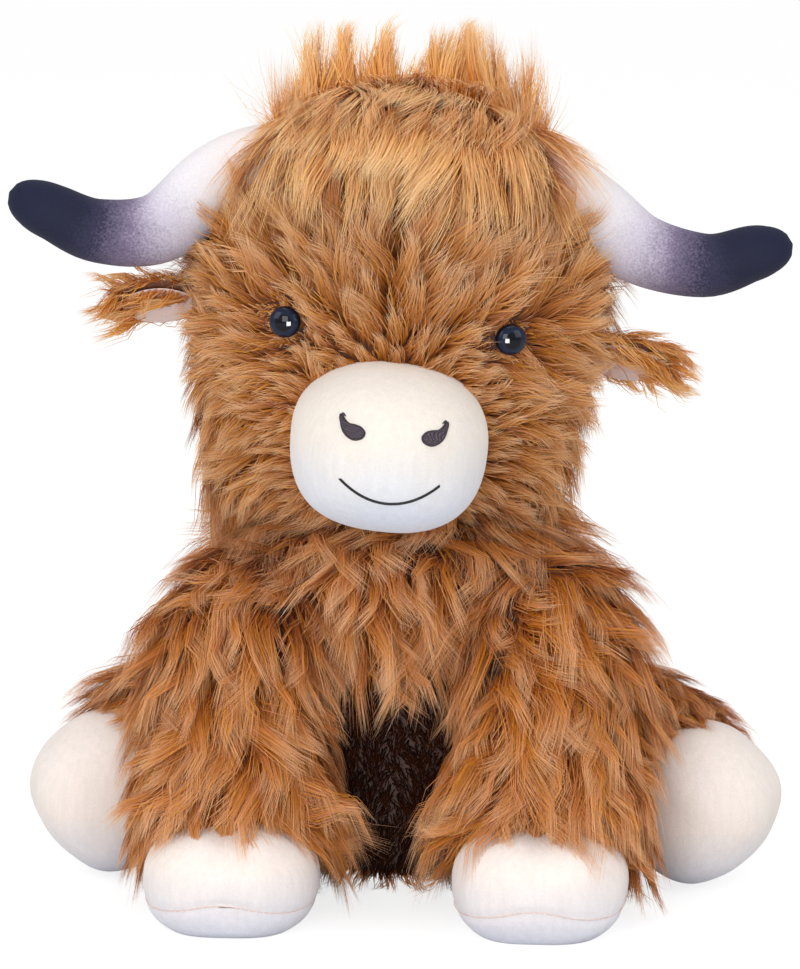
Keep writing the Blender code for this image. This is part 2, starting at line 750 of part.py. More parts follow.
def hoof_form(centre, half, low, high, frame=None, extra=0.0):
    return pad_form(
        centre, half, HOOF_SQUARENESS, HOOF_SEGMENTS, HOOF_RINGS, low, high, frame, extra
    )


def make_hoof(name, parent, centre, half, base, seam, frame):
    """A hoof of two velour panels, the upper and the sole, joined at a flat seam."""
    upper = hoof_form(centre, half, seam + FIT_GAP / 2, None, frame)
    sole = hoof_form(centre, half, base, seam - FIT_GAP / 2, frame)
    add_piece(name.replace("hoof", "hoof_upper"), upper, parent, VELOUR_LOOK)
    add_piece(name.replace("hoof", "hoof_sole"), sole, parent, VELOUR_LOOK)


def in_frame(form, origin):
    """Moves a form that is written in the body's frame into one whose origin is given."""
    bmesh.ops.translate(form, vec=-Vector(origin), verts=form.verts[:])
    return form


def front_limb(side, segments=LIMB_SEGMENTS, route=FRONT_LEG_PATH, start=SHOULDER_BALL_RADIUS, extra=0.0):
    halves = (FRONT_LEG_HALF_WIDTHS, FRONT_LEG_HALF_DEPTHS)
    return limb_form(SHOULDER_BALL, start, route, *halves, FRONT_LEG_END, side, segments, extra)


def hind_limb(side, segments=LIMB_SEGMENTS, route=HIND_LEG_PATH, start=HIP_BALL_RADIUS, extra=0.0):
    halves = (HIND_LEG_HALF_WIDTHS, HIND_LEG_HALF_DEPTHS)
    return limb_form(HIP_BALL, start, route, *halves, HIND_LEG_END, side, segments, extra)


def make_leg(name, side, parent, ball, radius, limb, fill_path, swing, passes, neighbours):
    """A leg's cover with its filling, and the mouth that the filling goes in by.

    All but its ball is cut by each form that it passes, as that form lies at every step of the swing,
    and each neighbour gives the cutter that clears it by an inset.
    """
    origin = mirrored(ball, side)
    axis, angle, steps = swing

    def leg_piece(label, segments, inset, look=None, **route):
        form = limb(side, segments, start=radius - BALL_MARGIN, extra=-inset, **route)
        piece = add_piece(label, in_frame(form, origin), parent, look)
        joint_ball = add_piece(label + "_ball", ball_form((0, 0, 0), radius - inset), parent)
        # The round forms graze each other here, where an exact cut leaves holes
        for number, passed in enumerate(passes):
            for step in range(steps + 1):
                gap = SWING_GAP if step else FIT_GAP
                form = in_frame(passed(inset + gap), origin)
                outside = add_piece(f"{label}_passes_{number}_{step}", form, parent)
                outside.rotation_mode = "QUATERNION"
                outside.rotation_quaternion = Quaternion(axis, -angle * step / steps)
                cut(piece, outside, solver="MANIFOLD")
        shape_with(piece, "UNION", joint_ball, solver="MANIFOLD")
        for clear in neighbours:
            cut(piece, *clear(label, inset + FIT_GAP), solver="MANIFOLD")
        return piece

    cover = leg_piece(name + "_cover", LIMB_SEGMENTS, 0.0, FUR_LOOK)
    cavity = leg_piece(name + "_cavity", CAVITY_SEGMENTS, FUR_THICKNESS, route=fill_path)
    inward = Vector((-side * (radius + OVERRUN), 0, 0))
    mouth_form = rod_form((0, 0, 0), inward, radius * FILLING_MOUTH_SHARE)
    mouth = add_piece(name + "_mouth", mouth_form, parent)
    cut(cover, cavity, mouth, solver="MANIFOLD")
    inset = FUR_THICKNESS + STUFFING_GAP
    leg_piece(name + "_filling", CAVITY_SEGMENTS, inset, FIBRE_LOOK, route=fill_path)


def ball_clearer(ball, radius, side):
    """Cutters of a neighbouring limb's ball, wide enough for it to turn in."""

    def clear(name, inset):
        around = socket_radius(radius) + inset - FIT_GAP
        return [add_piece(name + "_haunch", ball_form(mirrored(ball, side), around), None)]

    return clear


def hoof_clearer(parent, centre, half, base, seam, frame):
    """Cutters of the hoof's two panels, which overlap at the seam so that no skin is left there."""

    def clear(name, inset):
        sole = hoof_form(centre, half, base, seam + FIT_GAP, frame, inset)
        upper = hoof_form(centre, half, seam - FIT_GAP, None, frame, inset)
        return [add_piece(name + "_sole", sole, parent), add_piece(name + "_upper", upper, parent)]

    return clear


def make_tail(tail):
    origin = Vector(TAIL_ROOT)
    halves = [TAIL_STRAP_RADIUS] * len(TAIL_PATH)
    strap_form = limb_form(
        TAIL_ROOT, TAIL_BALL_RADIUS, TAIL_PATH, halves, halves, TAIL_STRAP_END, 1, SMALL_SEGMENTS
    )
    strap = add_piece("tail_strap", in_frame(strap_form, origin), tail, FUR_LOOK)
    tuft_form = pad_form(TUFT_CENTRE, TUFT_HALF, 1.0, SMALL_SEGMENTS, BALL_STEPS)
    add_piece("tail_tuft", in_frame(tuft_form, origin), tail, FUR_LOOK)
    skin_form = pad_form(TUFT_CENTRE, TUFT_HALF, 1.0, SMALL_SEGMENTS, BALL_STEPS, extra=FIT_GAP)
    skin = add_piece("tuft_skin", in_frame(skin_form, origin), tail)
    cut(strap, skin)


def main():
    clear_scene()

    # Frames that the moving parts hang from
    neck = add_empty("neck_axis", (0, NECK_Y, BODY_HEIGHT))
    head_place = Vector(HEAD_CENTRE) - Vector((0, NECK_Y, BODY_HEIGHT))
    head = add_empty("head_middle", head_place, neck)
    head.rotation_mode = "XYZ"
    head.rotation_euler = (0, HEAD_TILT, HEAD_YAW)

    # Sockets in the body for the limbs
    sockets = []
    for name, side in SIDES:
        for limb, ball, radius in (
            ("shoulder_", SHOULDER_BALL, SHOULDER_BALL_RADIUS),
            ("hip_", HIP_BALL, HIP_BALL_RADIUS),
        ):
            form = ball_form(mirrored(ball, side), socket_radius(radius))
            sockets.append(add_piece(limb + "socket_" + name, form, None))
    tail_socket_radius = socket_radius(TAIL_BALL_RADIUS, SMALL_SEGMENTS)
    tail_socket_form = ball_form(TAIL_ROOT, tail_socket_radius, SMALL_SEGMENTS)
    tail_socket = add_piece("tail_socket", tail_socket_form, None)
    make_body(sockets, tail_socket)

    # Head with all that is sewn to it
    cover, filling = make_head(head)
    head_skin = add_piece("head_skin", head_form(FIT_GAP), head)
    make_muzzle(head, head_skin)
    horn_skins = []
    for name, side in SIDES:
        make_eye(name, side, head, cover, filling)
        horn_skins.append(make_horn(name, side, head, head_skin))
        ear_frame = add_empty("ear_axis_" + name, mirrored(EAR_ROOT, side), head)
        turn = Matrix.Rotation(side * EAR_DROOP, 3, "Y") @ Matrix.Rotation(-EAR_TILT, 3, "X")
        if side < 0:
            turn = turn @ Matrix.Rotation(math.pi, 3, "Z")
        ear_frame.rotation_mode = "XYZ"
        ear_frame.rotation_euler = turn.to_euler("XYZ")
        make_ear(name, side, ear_frame, cover)
    make_forelock(head, head_skin, horn_skins)

    # Legs
    for name, side in SIDES:
        shoulder = add_empty("shoulder_axis_" + name, mirrored(SHOULDER_BALL, side))
        hip = add_empty("hip_axis_" + name, mirrored(HIP_BALL, side))

        place = mirrored(FRONT_HOOF_CENTRE, side) - shoulder.location
        base = -FRONT_HOOF_CENTRE[2]
        seam = FRONT_SEAM_HEIGHT - FRONT_HOOF_CENTRE[2]
        make_hoof("front_hoof_" + name, shoulder, place, FRONT_HOOF_HALF, base, seam, None)
        make_leg(
            "front_leg_" + name,
            side,
            shoulder,
            SHOULDER_BALL,
            SHOULDER_BALL_RADIUS,
            front_limb,
            FRONT_FILL_PATH,
            (Vector((-1, 0, 0)), FRONT_SWING, FRONT_SWING_STEPS),
            (body_form,),
            (
                ball_clearer(HIP_BALL, HIP_BALL_RADIUS, side),
                hoof_clearer(shoulder, place, FRONT_HOOF_HALF, base, seam, None),
            ),
        )

        place = mirrored(HIND_HOOF_CENTRE, side) - hip.location
        away = mirrored(HIND_SOLE_WAY_SHARES, side).normalized()
        frame = (-away).to_track_quat("Z", "Y").to_matrix()
        make_hoof("hind_hoof_" + name, hip, place, HIND_HOOF_HALF, None, -HIND_SEAM_DEPTH, frame)
        outward = mirrored(HIND_LEG_PATH[-1], side) - hip.location
        lift_axis = Vector((outward.y, -outward.x, 0)).normalized()

        def front_leg_beside(extra, side=side):
            return front_limb(side, extra=extra)

        make_leg(
            "hind_leg_" + name,
            side,
            hip,
            HIP_BALL,
            HIP_BALL_RADIUS,
            hind_limb,
            HIND_FILL_PATH,
            (lift_axis, HIND_LIFT, HIND_LIFT_STEPS),
            (body_form, front_leg_beside),
            (hoof_clearer(hip, place, HIND_HOOF_HALF, None, -HIND_SEAM_DEPTH, frame),),
        )

    tail = add_empty("tail_axis", TAIL_ROOT)
    make_tail(tail)


main()
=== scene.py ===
import math

import bmesh
import bpy
import numpy as np
from mathutils import Matrix, Vector, noise
from mathutils.bvhtree import BVHTree


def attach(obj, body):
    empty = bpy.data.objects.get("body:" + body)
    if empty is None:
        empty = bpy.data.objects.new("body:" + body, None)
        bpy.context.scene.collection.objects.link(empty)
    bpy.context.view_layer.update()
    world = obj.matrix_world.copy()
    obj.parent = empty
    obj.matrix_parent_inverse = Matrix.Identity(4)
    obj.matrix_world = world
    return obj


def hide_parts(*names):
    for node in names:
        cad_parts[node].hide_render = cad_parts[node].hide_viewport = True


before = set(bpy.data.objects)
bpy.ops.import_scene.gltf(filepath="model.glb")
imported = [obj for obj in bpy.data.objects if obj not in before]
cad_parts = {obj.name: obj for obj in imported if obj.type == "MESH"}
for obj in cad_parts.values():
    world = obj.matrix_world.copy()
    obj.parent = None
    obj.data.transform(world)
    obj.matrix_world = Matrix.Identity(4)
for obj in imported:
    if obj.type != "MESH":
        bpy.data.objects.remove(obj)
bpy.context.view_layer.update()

sides = (("Left", "left", -1), ("Right", "right", 1))

# Where the head sits, as in the model: its middle, its tilt to the side and its turn
headPlace = {"middle": (-0.003, -0.012, 0.226), "tilt": 4.7, "turn": 6.0}
headFrame = (
    Matrix.Translation(headPlace["middle"])
    @ Matrix.Rotation(math.radians(headPlace["turn"]), 4, "Z")
    @ Matrix.Rotation(math.radians(headPlace["tilt"]), 4, "Y")
)
headTurn = np.array(headFrame.to_3x3())
headMiddle = np.array(headPlace["middle"])


# Points or directions of the row frame, turned into the head's own
def inHead(points):
    return (np.asarray(points) - headMiddle) @ headTurn


def fromHead(points):
    return np.asarray(points) @ headTurn.T + headMiddle


# 0 below low, 1 above high and a smooth rise between
def share(low, high, value):
    t = np.clip((value - low) / (high - low), 0, 1)
    return t * t * (3 - 2 * t)


# A smooth number between about -1 and 1 that changes over that size
def wander(points, size, seed):
    shift = Vector((seed * 7.3, seed * 3.1, seed * 5.7))
    return np.array([noise.noise(Vector(p) / size + shift) for p in points]) * 1.6


def unit(rows):
    return rows / np.maximum(np.linalg.norm(rows, axis=1, keepdims=True), 1e-9)


def pointsOf(mesh):
    rows = np.zeros(len(mesh.vertices) * 3)
    mesh.vertices.foreach_get("co", rows)
    return rows.reshape(-1, 3)


def normalsOf(mesh):
    rows = np.zeros(len(mesh.vertices) * 3)
    mesh.vertex_normals.foreach_get("vector", rows)
    return rows.reshape(-1, 3)


def putPoints(mesh, rows):
    mesh.vertices.foreach_set("co", np.asarray(rows, float).ravel())
    mesh.update()


def newObject(name, mesh, material=None):
    piece = bpy.data.objects.new(name, mesh)
    bpy.context.scene.collection.objects.link(piece)
    if material:
        mesh.materials.clear()
        mesh.materials.append(material)
    return piece


# The piece's mesh with its modifiers applied, as a plain mesh
def finished(piece):
    bpy.context.view_layer.update()
    seen = piece.evaluated_get(bpy.context.evaluated_depsgraph_get())
    return bpy.data.meshes.new_from_object(seen)


def throwAway(piece):
    bpy.data.objects.remove(piece, do_unlink=True)


def triangles(mesh):
    return sum(len(face.vertices) - 2 for face in mesh.polygons)


# Materials


def newMaterial(name):
    material = bpy.data.materials.new(name)
    material.use_nodes = True
    tree = material.node_tree
    return material, tree, tree.nodes["Principled BSDF"]


# A node with its settings. Links gives each input a socket to join or a value to hold
def addNode(tree, kind, links=None, **settings):
    node = tree.nodes.new(kind)
    for key, value in settings.items():
        setattr(node, key, value)
    for key, value in (links or {}).items():
        if isinstance(value, bpy.types.NodeSocket):
            tree.links.new(value, node.inputs[key])
        else:
            node.inputs[key].default_value = value
    return node


def ramp(tree, factor, stops):
    node = addNode(tree, "ShaderNodeValToRGB", {0: factor})
    band = node.color_ramp
    while len(band.elements) < len(stops):
        band.elements.new(0.5)
    for element, (place, colour) in zip(band.elements, stops):
        element.position = place
        element.color = (*colour, 1)
    return node.outputs[0]


# A colour as a screen shows it, 0 to 255, in the linear numbers that nodes use
def painted(red, green, blue):
    steps = (red / 255, green / 255, blue / 255)
    return tuple(s / 12.92 if s <= 0.04045 else ((s + 0.055) / 1.055) ** 2.4 for s in steps)


# The map's columns, each for strands of one tone
pileColumns = 48
# The colours of each fur from root to tip, of its dull and of its bright strands, at those places
pileLooks = {
    # The fur of body, legs and tail
    "brownPile": {
        "places": (0.0, 0.34, 0.68, 1.0),
        "dull": ((92, 40, 16), (146, 78, 34), (186, 116, 64), (218, 162, 116)),
        "bright": ((128, 62, 26), (192, 116, 58), (234, 172, 112), (252, 220, 182)),
        "sheen": 0.10,
        "gloss": 0.14,
    },
    # The golden hair of the crown and the ears, paler than the rest: partly its own colour and partly painted
    # light, for the backlit crown and for the ears' hair that the horns shade
    "crownPile": {
        "places": (0.0, 0.30, 0.65, 1.0),
        "dull": ((178, 104, 56), (214, 140, 78), (236, 172, 106), (248, 196, 134)),
        "bright": ((214, 136, 72), (242, 184, 114), (252, 214, 156), (254, 232, 190)),
        "sheen": 0.12,
        "gloss": 0.14,
    },
    # The head's fur, the same fur as the body's drawn paler and less orange: painted light for the stronger
    # light on the head
    "litHeadPile": {
        "places": (0.0, 0.34, 0.68, 1.0),
        "dull": ((92, 47, 20), (144, 85, 42), (182, 121, 72), (214, 166, 122)),
        "bright": ((126, 69, 32), (188, 122, 68), (229, 176, 122), (248, 223, 188)),
        "sheen": 0.10,
        "gloss": 0.14,
    },
    # The short fur in the hollow between the front legs, painted near-black brown for the shadow that falls
    # there
    "hollowShadowPile": {
        "places": (0.0, 0.30, 0.65, 1.0),
        "dull": ((14, 5, 2), (28, 12, 5), (44, 20, 9), (60, 28, 14)),
        "bright": ((22, 9, 4), (46, 21, 10), (72, 36, 18), (98, 54, 30)),
        "sheen": 0.0,
        "gloss": 0.02,
    },
}
# What every fur shares. Hue and richness vary between those two, from one strand colour to the next
pileFinish = {"hue": (0.490, 0.504), "richness": (1.02, 1.20), "roughness": 0.62, "sheenRoughness": 0.5}


# Fur that runs from root to tip up its map, with dull strands on the left and bright on the right
def pileMaterial(name):
    look = pileLooks[name]
    material, tree, shader = newMaterial(name)
    place = addNode(tree, "ShaderNodeUVMap", uv_map="OFBake")
    parts = addNode(tree, "ShaderNodeSeparateXYZ", {0: place.outputs[0]})
    tone, along = parts.outputs[0], parts.outputs[1]
    dull, bright = [
        ramp(tree, along, [(at, painted(*colour)) for at, colour in zip(look["places"], look[kind])])
        for kind in ("dull", "bright")
    ]
    mixed = addNode(tree, "ShaderNodeMix", {0: tone, 6: dull, 7: bright}, data_type="RGBA")
    column = addNode(tree, "ShaderNodeMath", {0: tone, 1: float(pileColumns)}, operation="MULTIPLY")
    column = addNode(tree, "ShaderNodeMath", {0: column.outputs[0]}, operation="FLOOR")
    draw = addNode(tree, "ShaderNodeTexWhiteNoise", {"W": column.outputs[0]}, noise_dimensions="1D")
    hue, rich = [
        addNode(tree, "ShaderNodeMapRange", {0: draw.outputs[0], 3: low, 4: high})
        for low, high in (pileFinish["hue"], pileFinish["richness"])
    ]
    varied = addNode(
        tree,
        "ShaderNodeHueSaturation",
        {"Hue": hue.outputs[0], "Saturation": rich.outputs[0], "Color": mixed.outputs[2]},
    )
    tree.links.new(varied.outputs[0], shader.inputs["Base Color"])
    shader.inputs["Roughness"].default_value = pileFinish["roughness"]
    shader.inputs["Specular IOR Level"].default_value = look["gloss"]
    shader.inputs["Sheen Weight"].default_value = look["sheen"]
    shader.inputs["Sheen Roughness"].default_value = pileFinish["sheenRoughness"]
    return material


brownPile, crownPile, litHeadPile, hollowShadowPile = [pileMaterial(name) for name in pileLooks]


weaveLook = {"grain": 900.0, "depth": 0.0006, "strength": 0.5, "roughness": 0.9}


def addBump(tree, shader, height, depth, strength):
    bump = addNode(tree, "ShaderNodeBump", {"Height": height, "Distance": depth, "Strength": strength})
    tree.links.new(bump.outputs[0], shader.inputs["Normal"])


# A plain woven cloth, such as the backing under the fur
def clothMaterial(name, colour, darker):
    material, tree, shader = newMaterial(name)
    place = addNode(tree, "ShaderNodeTexCoord")
    links = {"Vector": place.outputs["Object"], "Scale": weaveLook["grain"]}
    grain = addNode(tree, "ShaderNodeTexNoise", links)
    band = ramp(tree, grain.outputs[0], ((0.3, darker), (0.7, colour)))
    tree.links.new(band, shader.inputs["Base Color"])
    addBump(tree, shader, grain.outputs[0], weaveLook["depth"], weaveLook["strength"])
    shader.inputs["Roughness"].default_value = weaveLook["roughness"]
    return material


backing = clothMaterial("furBacking", painted(92, 46, 20), painted(52, 24, 12))
crownBacking = clothMaterial("crownBacking", painted(140, 78, 32), painted(96, 48, 20))


velourLook = {
    "cloud": 45.0,
    "cloudShare": 0.22,
    "nap": 1500.0,
    "brushed": 420.0,
    "brushedAcross": (1.0, 1.0, 0.2),
    "shade": (0.93, 1.03),
    "depth": 0.0004,
    "strength": 0.35,
    "roughness": 0.85,
    "sheen": 0.25,
    "sheenRoughness": 0.45,
}


# Short-pile velour with a fine nap: warm at the height high, cooler and darker at the height low, partly the
# velour's own tint and partly painted shade on its lower part
def velourMaterial(name, warm, coolShaded, low, high):
    look = velourLook
    material, tree, shader = newMaterial(name)
    place = addNode(tree, "ShaderNodeTexCoord").outputs["Object"]
    height = addNode(tree, "ShaderNodeVectorMath", {0: place, 1: (0, 0, 1)}, operation="DOT_PRODUCT")
    rise = addNode(tree, "ShaderNodeMapRange", {0: height.outputs["Value"], 1: low, 2: high})
    cloud = addNode(tree, "ShaderNodeTexNoise", {"Vector": place, "Scale": look["cloud"], "Detail": 3.0})
    ends = {3: -look["cloudShare"], 4: look["cloudShare"]}
    spread = addNode(tree, "ShaderNodeMapRange", {0: cloud.outputs[0]} | ends)
    total = addNode(
        tree, "ShaderNodeMath", {0: rise.outputs[0], 1: spread.outputs[0]}, operation="ADD", use_clamp=True
    )
    tint = addNode(
        tree, "ShaderNodeMix", {0: total.outputs[0], 6: (*coolShaded, 1), 7: (*warm, 1)}, data_type="RGBA"
    )
    nap = addNode(tree, "ShaderNodeTexNoise", {"Vector": place, "Scale": look["nap"], "Detail": 2.0})
    tall = addNode(tree, "ShaderNodeVectorMath", {0: place, 1: look["brushedAcross"]}, operation="MULTIPLY")
    grain = {"Vector": tall.outputs[0], "Scale": look["brushed"], "Detail": 4.0}
    brushed = addNode(tree, "ShaderNodeTexNoise", grain)
    both = addNode(tree, "ShaderNodeMath", {0: nap.outputs[0], 1: brushed.outputs[0]}, operation="ADD")
    ends = {1: 0.7, 2: 1.3, 3: look["shade"][0], 4: look["shade"][1]}
    shade = addNode(tree, "ShaderNodeMapRange", {0: both.outputs[0]} | ends)
    colour = addNode(
        tree, "ShaderNodeVectorMath", {0: tint.outputs[2], "Scale": shade.outputs[0]}, operation="SCALE"
    )
    tree.links.new(colour.outputs[0], shader.inputs["Base Color"])
    addBump(tree, shader, both.outputs[0], look["depth"], look["strength"])
    shader.inputs["Roughness"].default_value = look["roughness"]
    shader.inputs["Sheen Weight"].default_value = look["sheen"]
    shader.inputs["Sheen Roughness"].default_value = look["sheenRoughness"]
    return material


# Each velour's second colour, cooler and darker, is partly its own tint and partly painted shade below
muzzleVelour = velourMaterial("muzzleVelour", painted(240, 231, 221), painted(220, 228, 243), 0.168, 0.200)
hoofVelour = velourMaterial("hoofVelour", painted(250, 238, 230), painted(226, 228, 240), 0.002, 0.030)
liningVelour = velourMaterial("liningVelour", painted(238, 216, 210), painted(220, 196, 194), 0.20, 0.24)


# Geometry Nodes for fur: every strand stands on the cloth, bends over and leans to its lock


def newTree(name, inputs, outputs):
    tree = bpy.data.node_groups.new(name, "GeometryNodeTree")
    for label, kind in inputs:
        tree.interface.new_socket(name=label, in_out="INPUT", socket_type="NodeSocket" + kind)
    for label, kind in outputs:
        tree.interface.new_socket(name=label, in_out="OUTPUT", socket_type="NodeSocket" + kind)
    return tree, tree.nodes.new("NodeGroupInput").outputs, tree.nodes.new("NodeGroupOutput").inputs


def sums(tree, operation, a, b=None, c=None):
    links = {0: a}
    if b is not None:
        links[1] = b
    if c is not None:
        links[2] = c
    return addNode(tree, "ShaderNodeMath", links, operation=operation).outputs[0]


def arrows(tree, operation, a, b=None):
    links = {0: a}
    if b is not None:
        links[1] = b
    return addNode(tree, "ShaderNodeVectorMath", links, operation=operation).outputs[0]


def product(tree, first, *others):
    for other in others:
        first = sums(tree, "MULTIPLY", first, other)
    return first


def scaled(tree, arrow, size):
    return addNode(tree, "ShaderNodeVectorMath", {0: arrow, "Scale": size}, operation="SCALE").outputs[0]


# What all strands share. Chance draws from minus to plus the first two; longest is a share of the length
strandLook = {
    "lockLift": 0.16,
    "twist": 0.65,
    "longest": 1.12,
    "swing": 5.0,
    "fray": 0.22,
    "frayPower": 5.0,
    "taper": 0.96,
    "taperPower": 2.6,
    "lockTone": 0.55,
    "ownTone": 0.45,
    "floor": 0.0006,
    "floorSpread": 0.0012,
}


# One strand's path: up off the cloth at the lift angle, bending over to the lay angle at its tip
def pathTree():
    tree, given, out = newTree(
        "strandPath",
        (
            ("Root", "Vector"),
            ("Up", "Vector"),
            ("Way", "Vector"),
            ("Reach", "Float"),
            ("Turn", "Float"),
            ("Lift", "Float"),
            ("Lay", "Float"),
            ("Droop", "Float"),
            ("Wave", "Float"),
            ("Phase", "Float"),
            ("Along", "Float"),
        ),
        (("Place", "Vector"), ("Across", "Vector"), ("Out", "Vector")),
    )
    way = addNode(
        tree,
        "ShaderNodeVectorRotate",
        {"Vector": given["Way"], "Axis": given["Up"], "Angle": given["Turn"]},
        rotation_type="AXIS_ANGLE",
    ).outputs[0]
    across = arrows(tree, "CROSS_PRODUCT", given["Up"], way)
    span = sums(tree, "SUBTRACT", sums(tree, "SUBTRACT", given["Lay"], given["Lift"]), 0.002)
    angle = sums(tree, "MULTIPLY_ADD", span, given["Along"], given["Lift"])
    sine = sums(tree, "SINE", angle)
    cosine = sums(tree, "COSINE", angle)
    forward = sums(tree, "SUBTRACT", sine, sums(tree, "SINE", given["Lift"]))
    forward = sums(tree, "DIVIDE", forward, span)
    upward = sums(tree, "SUBTRACT", sums(tree, "COSINE", given["Lift"]), cosine)
    upward = sums(tree, "DIVIDE", upward, span)
    swing = sums(tree, "MULTIPLY_ADD", given["Along"], strandLook["swing"], given["Phase"])
    swing = sums(tree, "SINE", swing)
    sideways = product(tree, swing, given["Along"], given["Wave"])
    fall = product(tree, given["Along"], given["Along"], given["Droop"], -1.0)
    down = addNode(tree, "ShaderNodeCombineXYZ", {2: fall}).outputs[0]
    bend = arrows(tree, "ADD", scaled(tree, way, forward), scaled(tree, given["Up"], upward))
    bend = arrows(tree, "ADD", bend, scaled(tree, across, sideways))
    bend = arrows(tree, "ADD", bend, down)
    place = arrows(tree, "ADD", given["Root"], scaled(tree, bend, given["Reach"]))
    outward = arrows(tree, "SUBTRACT", scaled(tree, given["Up"], cosine), scaled(tree, way, sine))
    tree.links.new(place, out["Place"])
    tree.links.new(across, out["Across"])
    tree.links.new(outward, out["Out"])
    return tree


strandPath = pathTree()


def named(tree, label, kind="FLOAT"):
    return addNode(tree, "GeometryNodeInputNamedAttribute", {0: label}, data_type=kind).outputs[0]


def stored(tree, shape, label, value, kind="FLOAT", domain="POINT"):
    links = {"Geometry": shape, "Name": label, "Value": value}
    return addNode(tree, "GeometryNodeStoreNamedAttribute", links, data_type=kind, domain=domain).outputs[0]


def chance(tree, low, high, seed, offset):
    node = addNode(
        tree,
        "FunctionNodeRandomValue",
        {2: low, 3: high, "Seed": sums(tree, "ADD", seed, float(offset))},
        data_type="FLOAT",
    )
    return node.outputs[1]


def pileTree():
    tree, given, out = newTree(
        "furPile",
        (
            ("Cloth", "Geometry"),
            ("Strands per square metre", "Float"),
            ("Lock spacing", "Float"),
            ("Length", "Float"),
            ("Length spread", "Float"),
            ("Width", "Float"),
            ("Lock pull", "Float"),
            ("Lock scatter", "Float"),
            ("Strand scatter", "Float"),
            ("Droop", "Float"),
            ("Wave", "Float"),
            ("Tone", "Float"),
            ("Tone spread", "Float"),
            ("Bends", "Int"),
            ("Seed", "Int"),
            ("Strand seed", "Int"),
            ("Shortest strand", "Float"),
            ("Material", "Material"),
        ),
        (("Pile", "Geometry"),),
    )
    seed = given["Seed"]
    strandSeed = given["Strand seed"]

    # Locks: a thin, even scatter of points that strands gather to
    locks = addNode(
        tree,
        "GeometryNodeDistributePointsOnFaces",
        {
            "Mesh": given["Cloth"],
            "Distance Min": given["Lock spacing"],
            "Density Max": 90000.0,
            "Seed": seed,
        },
        distribute_method="POISSON",
    )
    spread = given["Length spread"]
    scatter = given["Lock scatter"]
    lockDraws = {
        "lockGrow": (sums(tree, "SUBTRACT", 1.0, spread), sums(tree, "ADD", 1.0, spread)),
        "lockTurn": (sums(tree, "MULTIPLY", scatter, -1.0), scatter),
        "lockPhase": (0.0, math.tau),
        "lockTone": (-1.0, 1.0),
        "lockLift": (-strandLook["lockLift"], strandLook["lockLift"]),
    }
    lockShape = stored(tree, locks.outputs["Points"], "lockUp", locks.outputs["Normal"], "FLOAT_VECTOR")
    for offset, (label, (low, high)) in enumerate(lockDraws.items(), 1):
        lockShape = stored(tree, lockShape, label, chance(tree, low, high, seed, offset))

    # Strands
    density = sums(tree, "MULTIPLY", given["Strands per square metre"], named(tree, "thick"))
    roots = addNode(
        tree,
        "GeometryNodeDistributePointsOnFaces",
        {"Mesh": given["Cloth"], "Density": density, "Seed": strandSeed},
        distribute_method="RANDOM",
    )
    place = tree.nodes.new("GeometryNodeInputPosition").outputs[0]
    nearest = addNode(
        tree, "GeometryNodeSampleNearest", {"Geometry": lockShape, "Sample Position": place}
    ).outputs[0]

    def ofLock(value, kind):
        return addNode(
            tree,
            "GeometryNodeSampleIndex",
            {"Geometry": lockShape, "Value": value, "Index": nearest},
            data_type=kind,
        ).outputs[0]

    shape = stored(tree, roots.outputs["Points"], "rootUp", roots.outputs["Normal"], "FLOAT_VECTOR")
    shape = stored(tree, shape, "rootAt", place, "FLOAT_VECTOR")
    shape = stored(tree, shape, "lockAt", ofLock(place, "FLOAT_VECTOR"), "FLOAT_VECTOR")
    for label, source in (("lockUp", "lockUp"), ("lockWay", "comb")):
        value = ofLock(named(tree, source, "FLOAT_VECTOR"), "FLOAT_VECTOR")
        shape = stored(tree, shape, label, value, "FLOAT_VECTOR")
    shape = stored(tree, shape, "lockReach", ofLock(named(tree, "reach"), "FLOAT"))
    for label in lockDraws:
        shape = stored(tree, shape, label, ofLock(named(tree, label), "FLOAT"))
    loose = given["Strand scatter"]
    ownDraws = {
        "ownTurn": (sums(tree, "MULTIPLY", loose, -1.0), loose),
        "ownGrow": (given["Shortest strand"], strandLook["longest"]),
        "ownTwist": (-strandLook["twist"], strandLook["twist"]),
        "ownTone": (-1.0, 1.0),
        "ownPull": (0.0, 1.0),
    }
    for offset, (label, (low, high)) in enumerate(ownDraws.items(), 21):
        shape = stored(tree, shape, label, chance(tree, low, high, strandSeed, offset))

    # The strand that is repeated: a ribbon one face wide, with a face for each bend
    ribbon = addNode(
        tree,
        "GeometryNodeMeshGrid",
        {"Size X": 1.0, "Size Y": 1.0, "Vertices X": 2, "Vertices Y": sums(tree, "ADD", given["Bends"], 1.0)},
    ).outputs[0]
    spot = addNode(tree, "ShaderNodeSeparateXYZ", {0: tree.nodes.new("GeometryNodeInputPosition").outputs[0]})
    ribbon = stored(tree, ribbon, "across", spot.outputs[0])
    ribbon = stored(tree, ribbon, "along", sums(tree, "ADD", spot.outputs[1], 0.5))
    strands = addNode(tree, "GeometryNodeInstanceOnPoints", {"Points": shape, "Instance": ribbon}).outputs[0]
    strands = addNode(tree, "GeometryNodeRealizeInstances", {"Geometry": strands}).outputs[0]

    along = named(tree, "along")
    across = named(tree, "across")
    ownGrow = named(tree, "ownGrow")
    lockGrow = named(tree, "lockGrow")
    ownReach = product(tree, named(tree, "reach"), given["Length"], ownGrow, lockGrow)
    lockReach = product(tree, named(tree, "lockReach"), given["Length"], lockGrow, ownGrow)
    lift = sums(tree, "ADD", named(tree, "lift"), named(tree, "lockLift"))
    turned = sums(tree, "ADD", named(tree, "ownTurn"), named(tree, "lockTurn"))
    shared = {
        "Lift": lift,
        "Lay": named(tree, "lay"),
        "Droop": given["Droop"],
        "Wave": given["Wave"],
        "Phase": named(tree, "lockPhase"),
        "Along": along,
    }

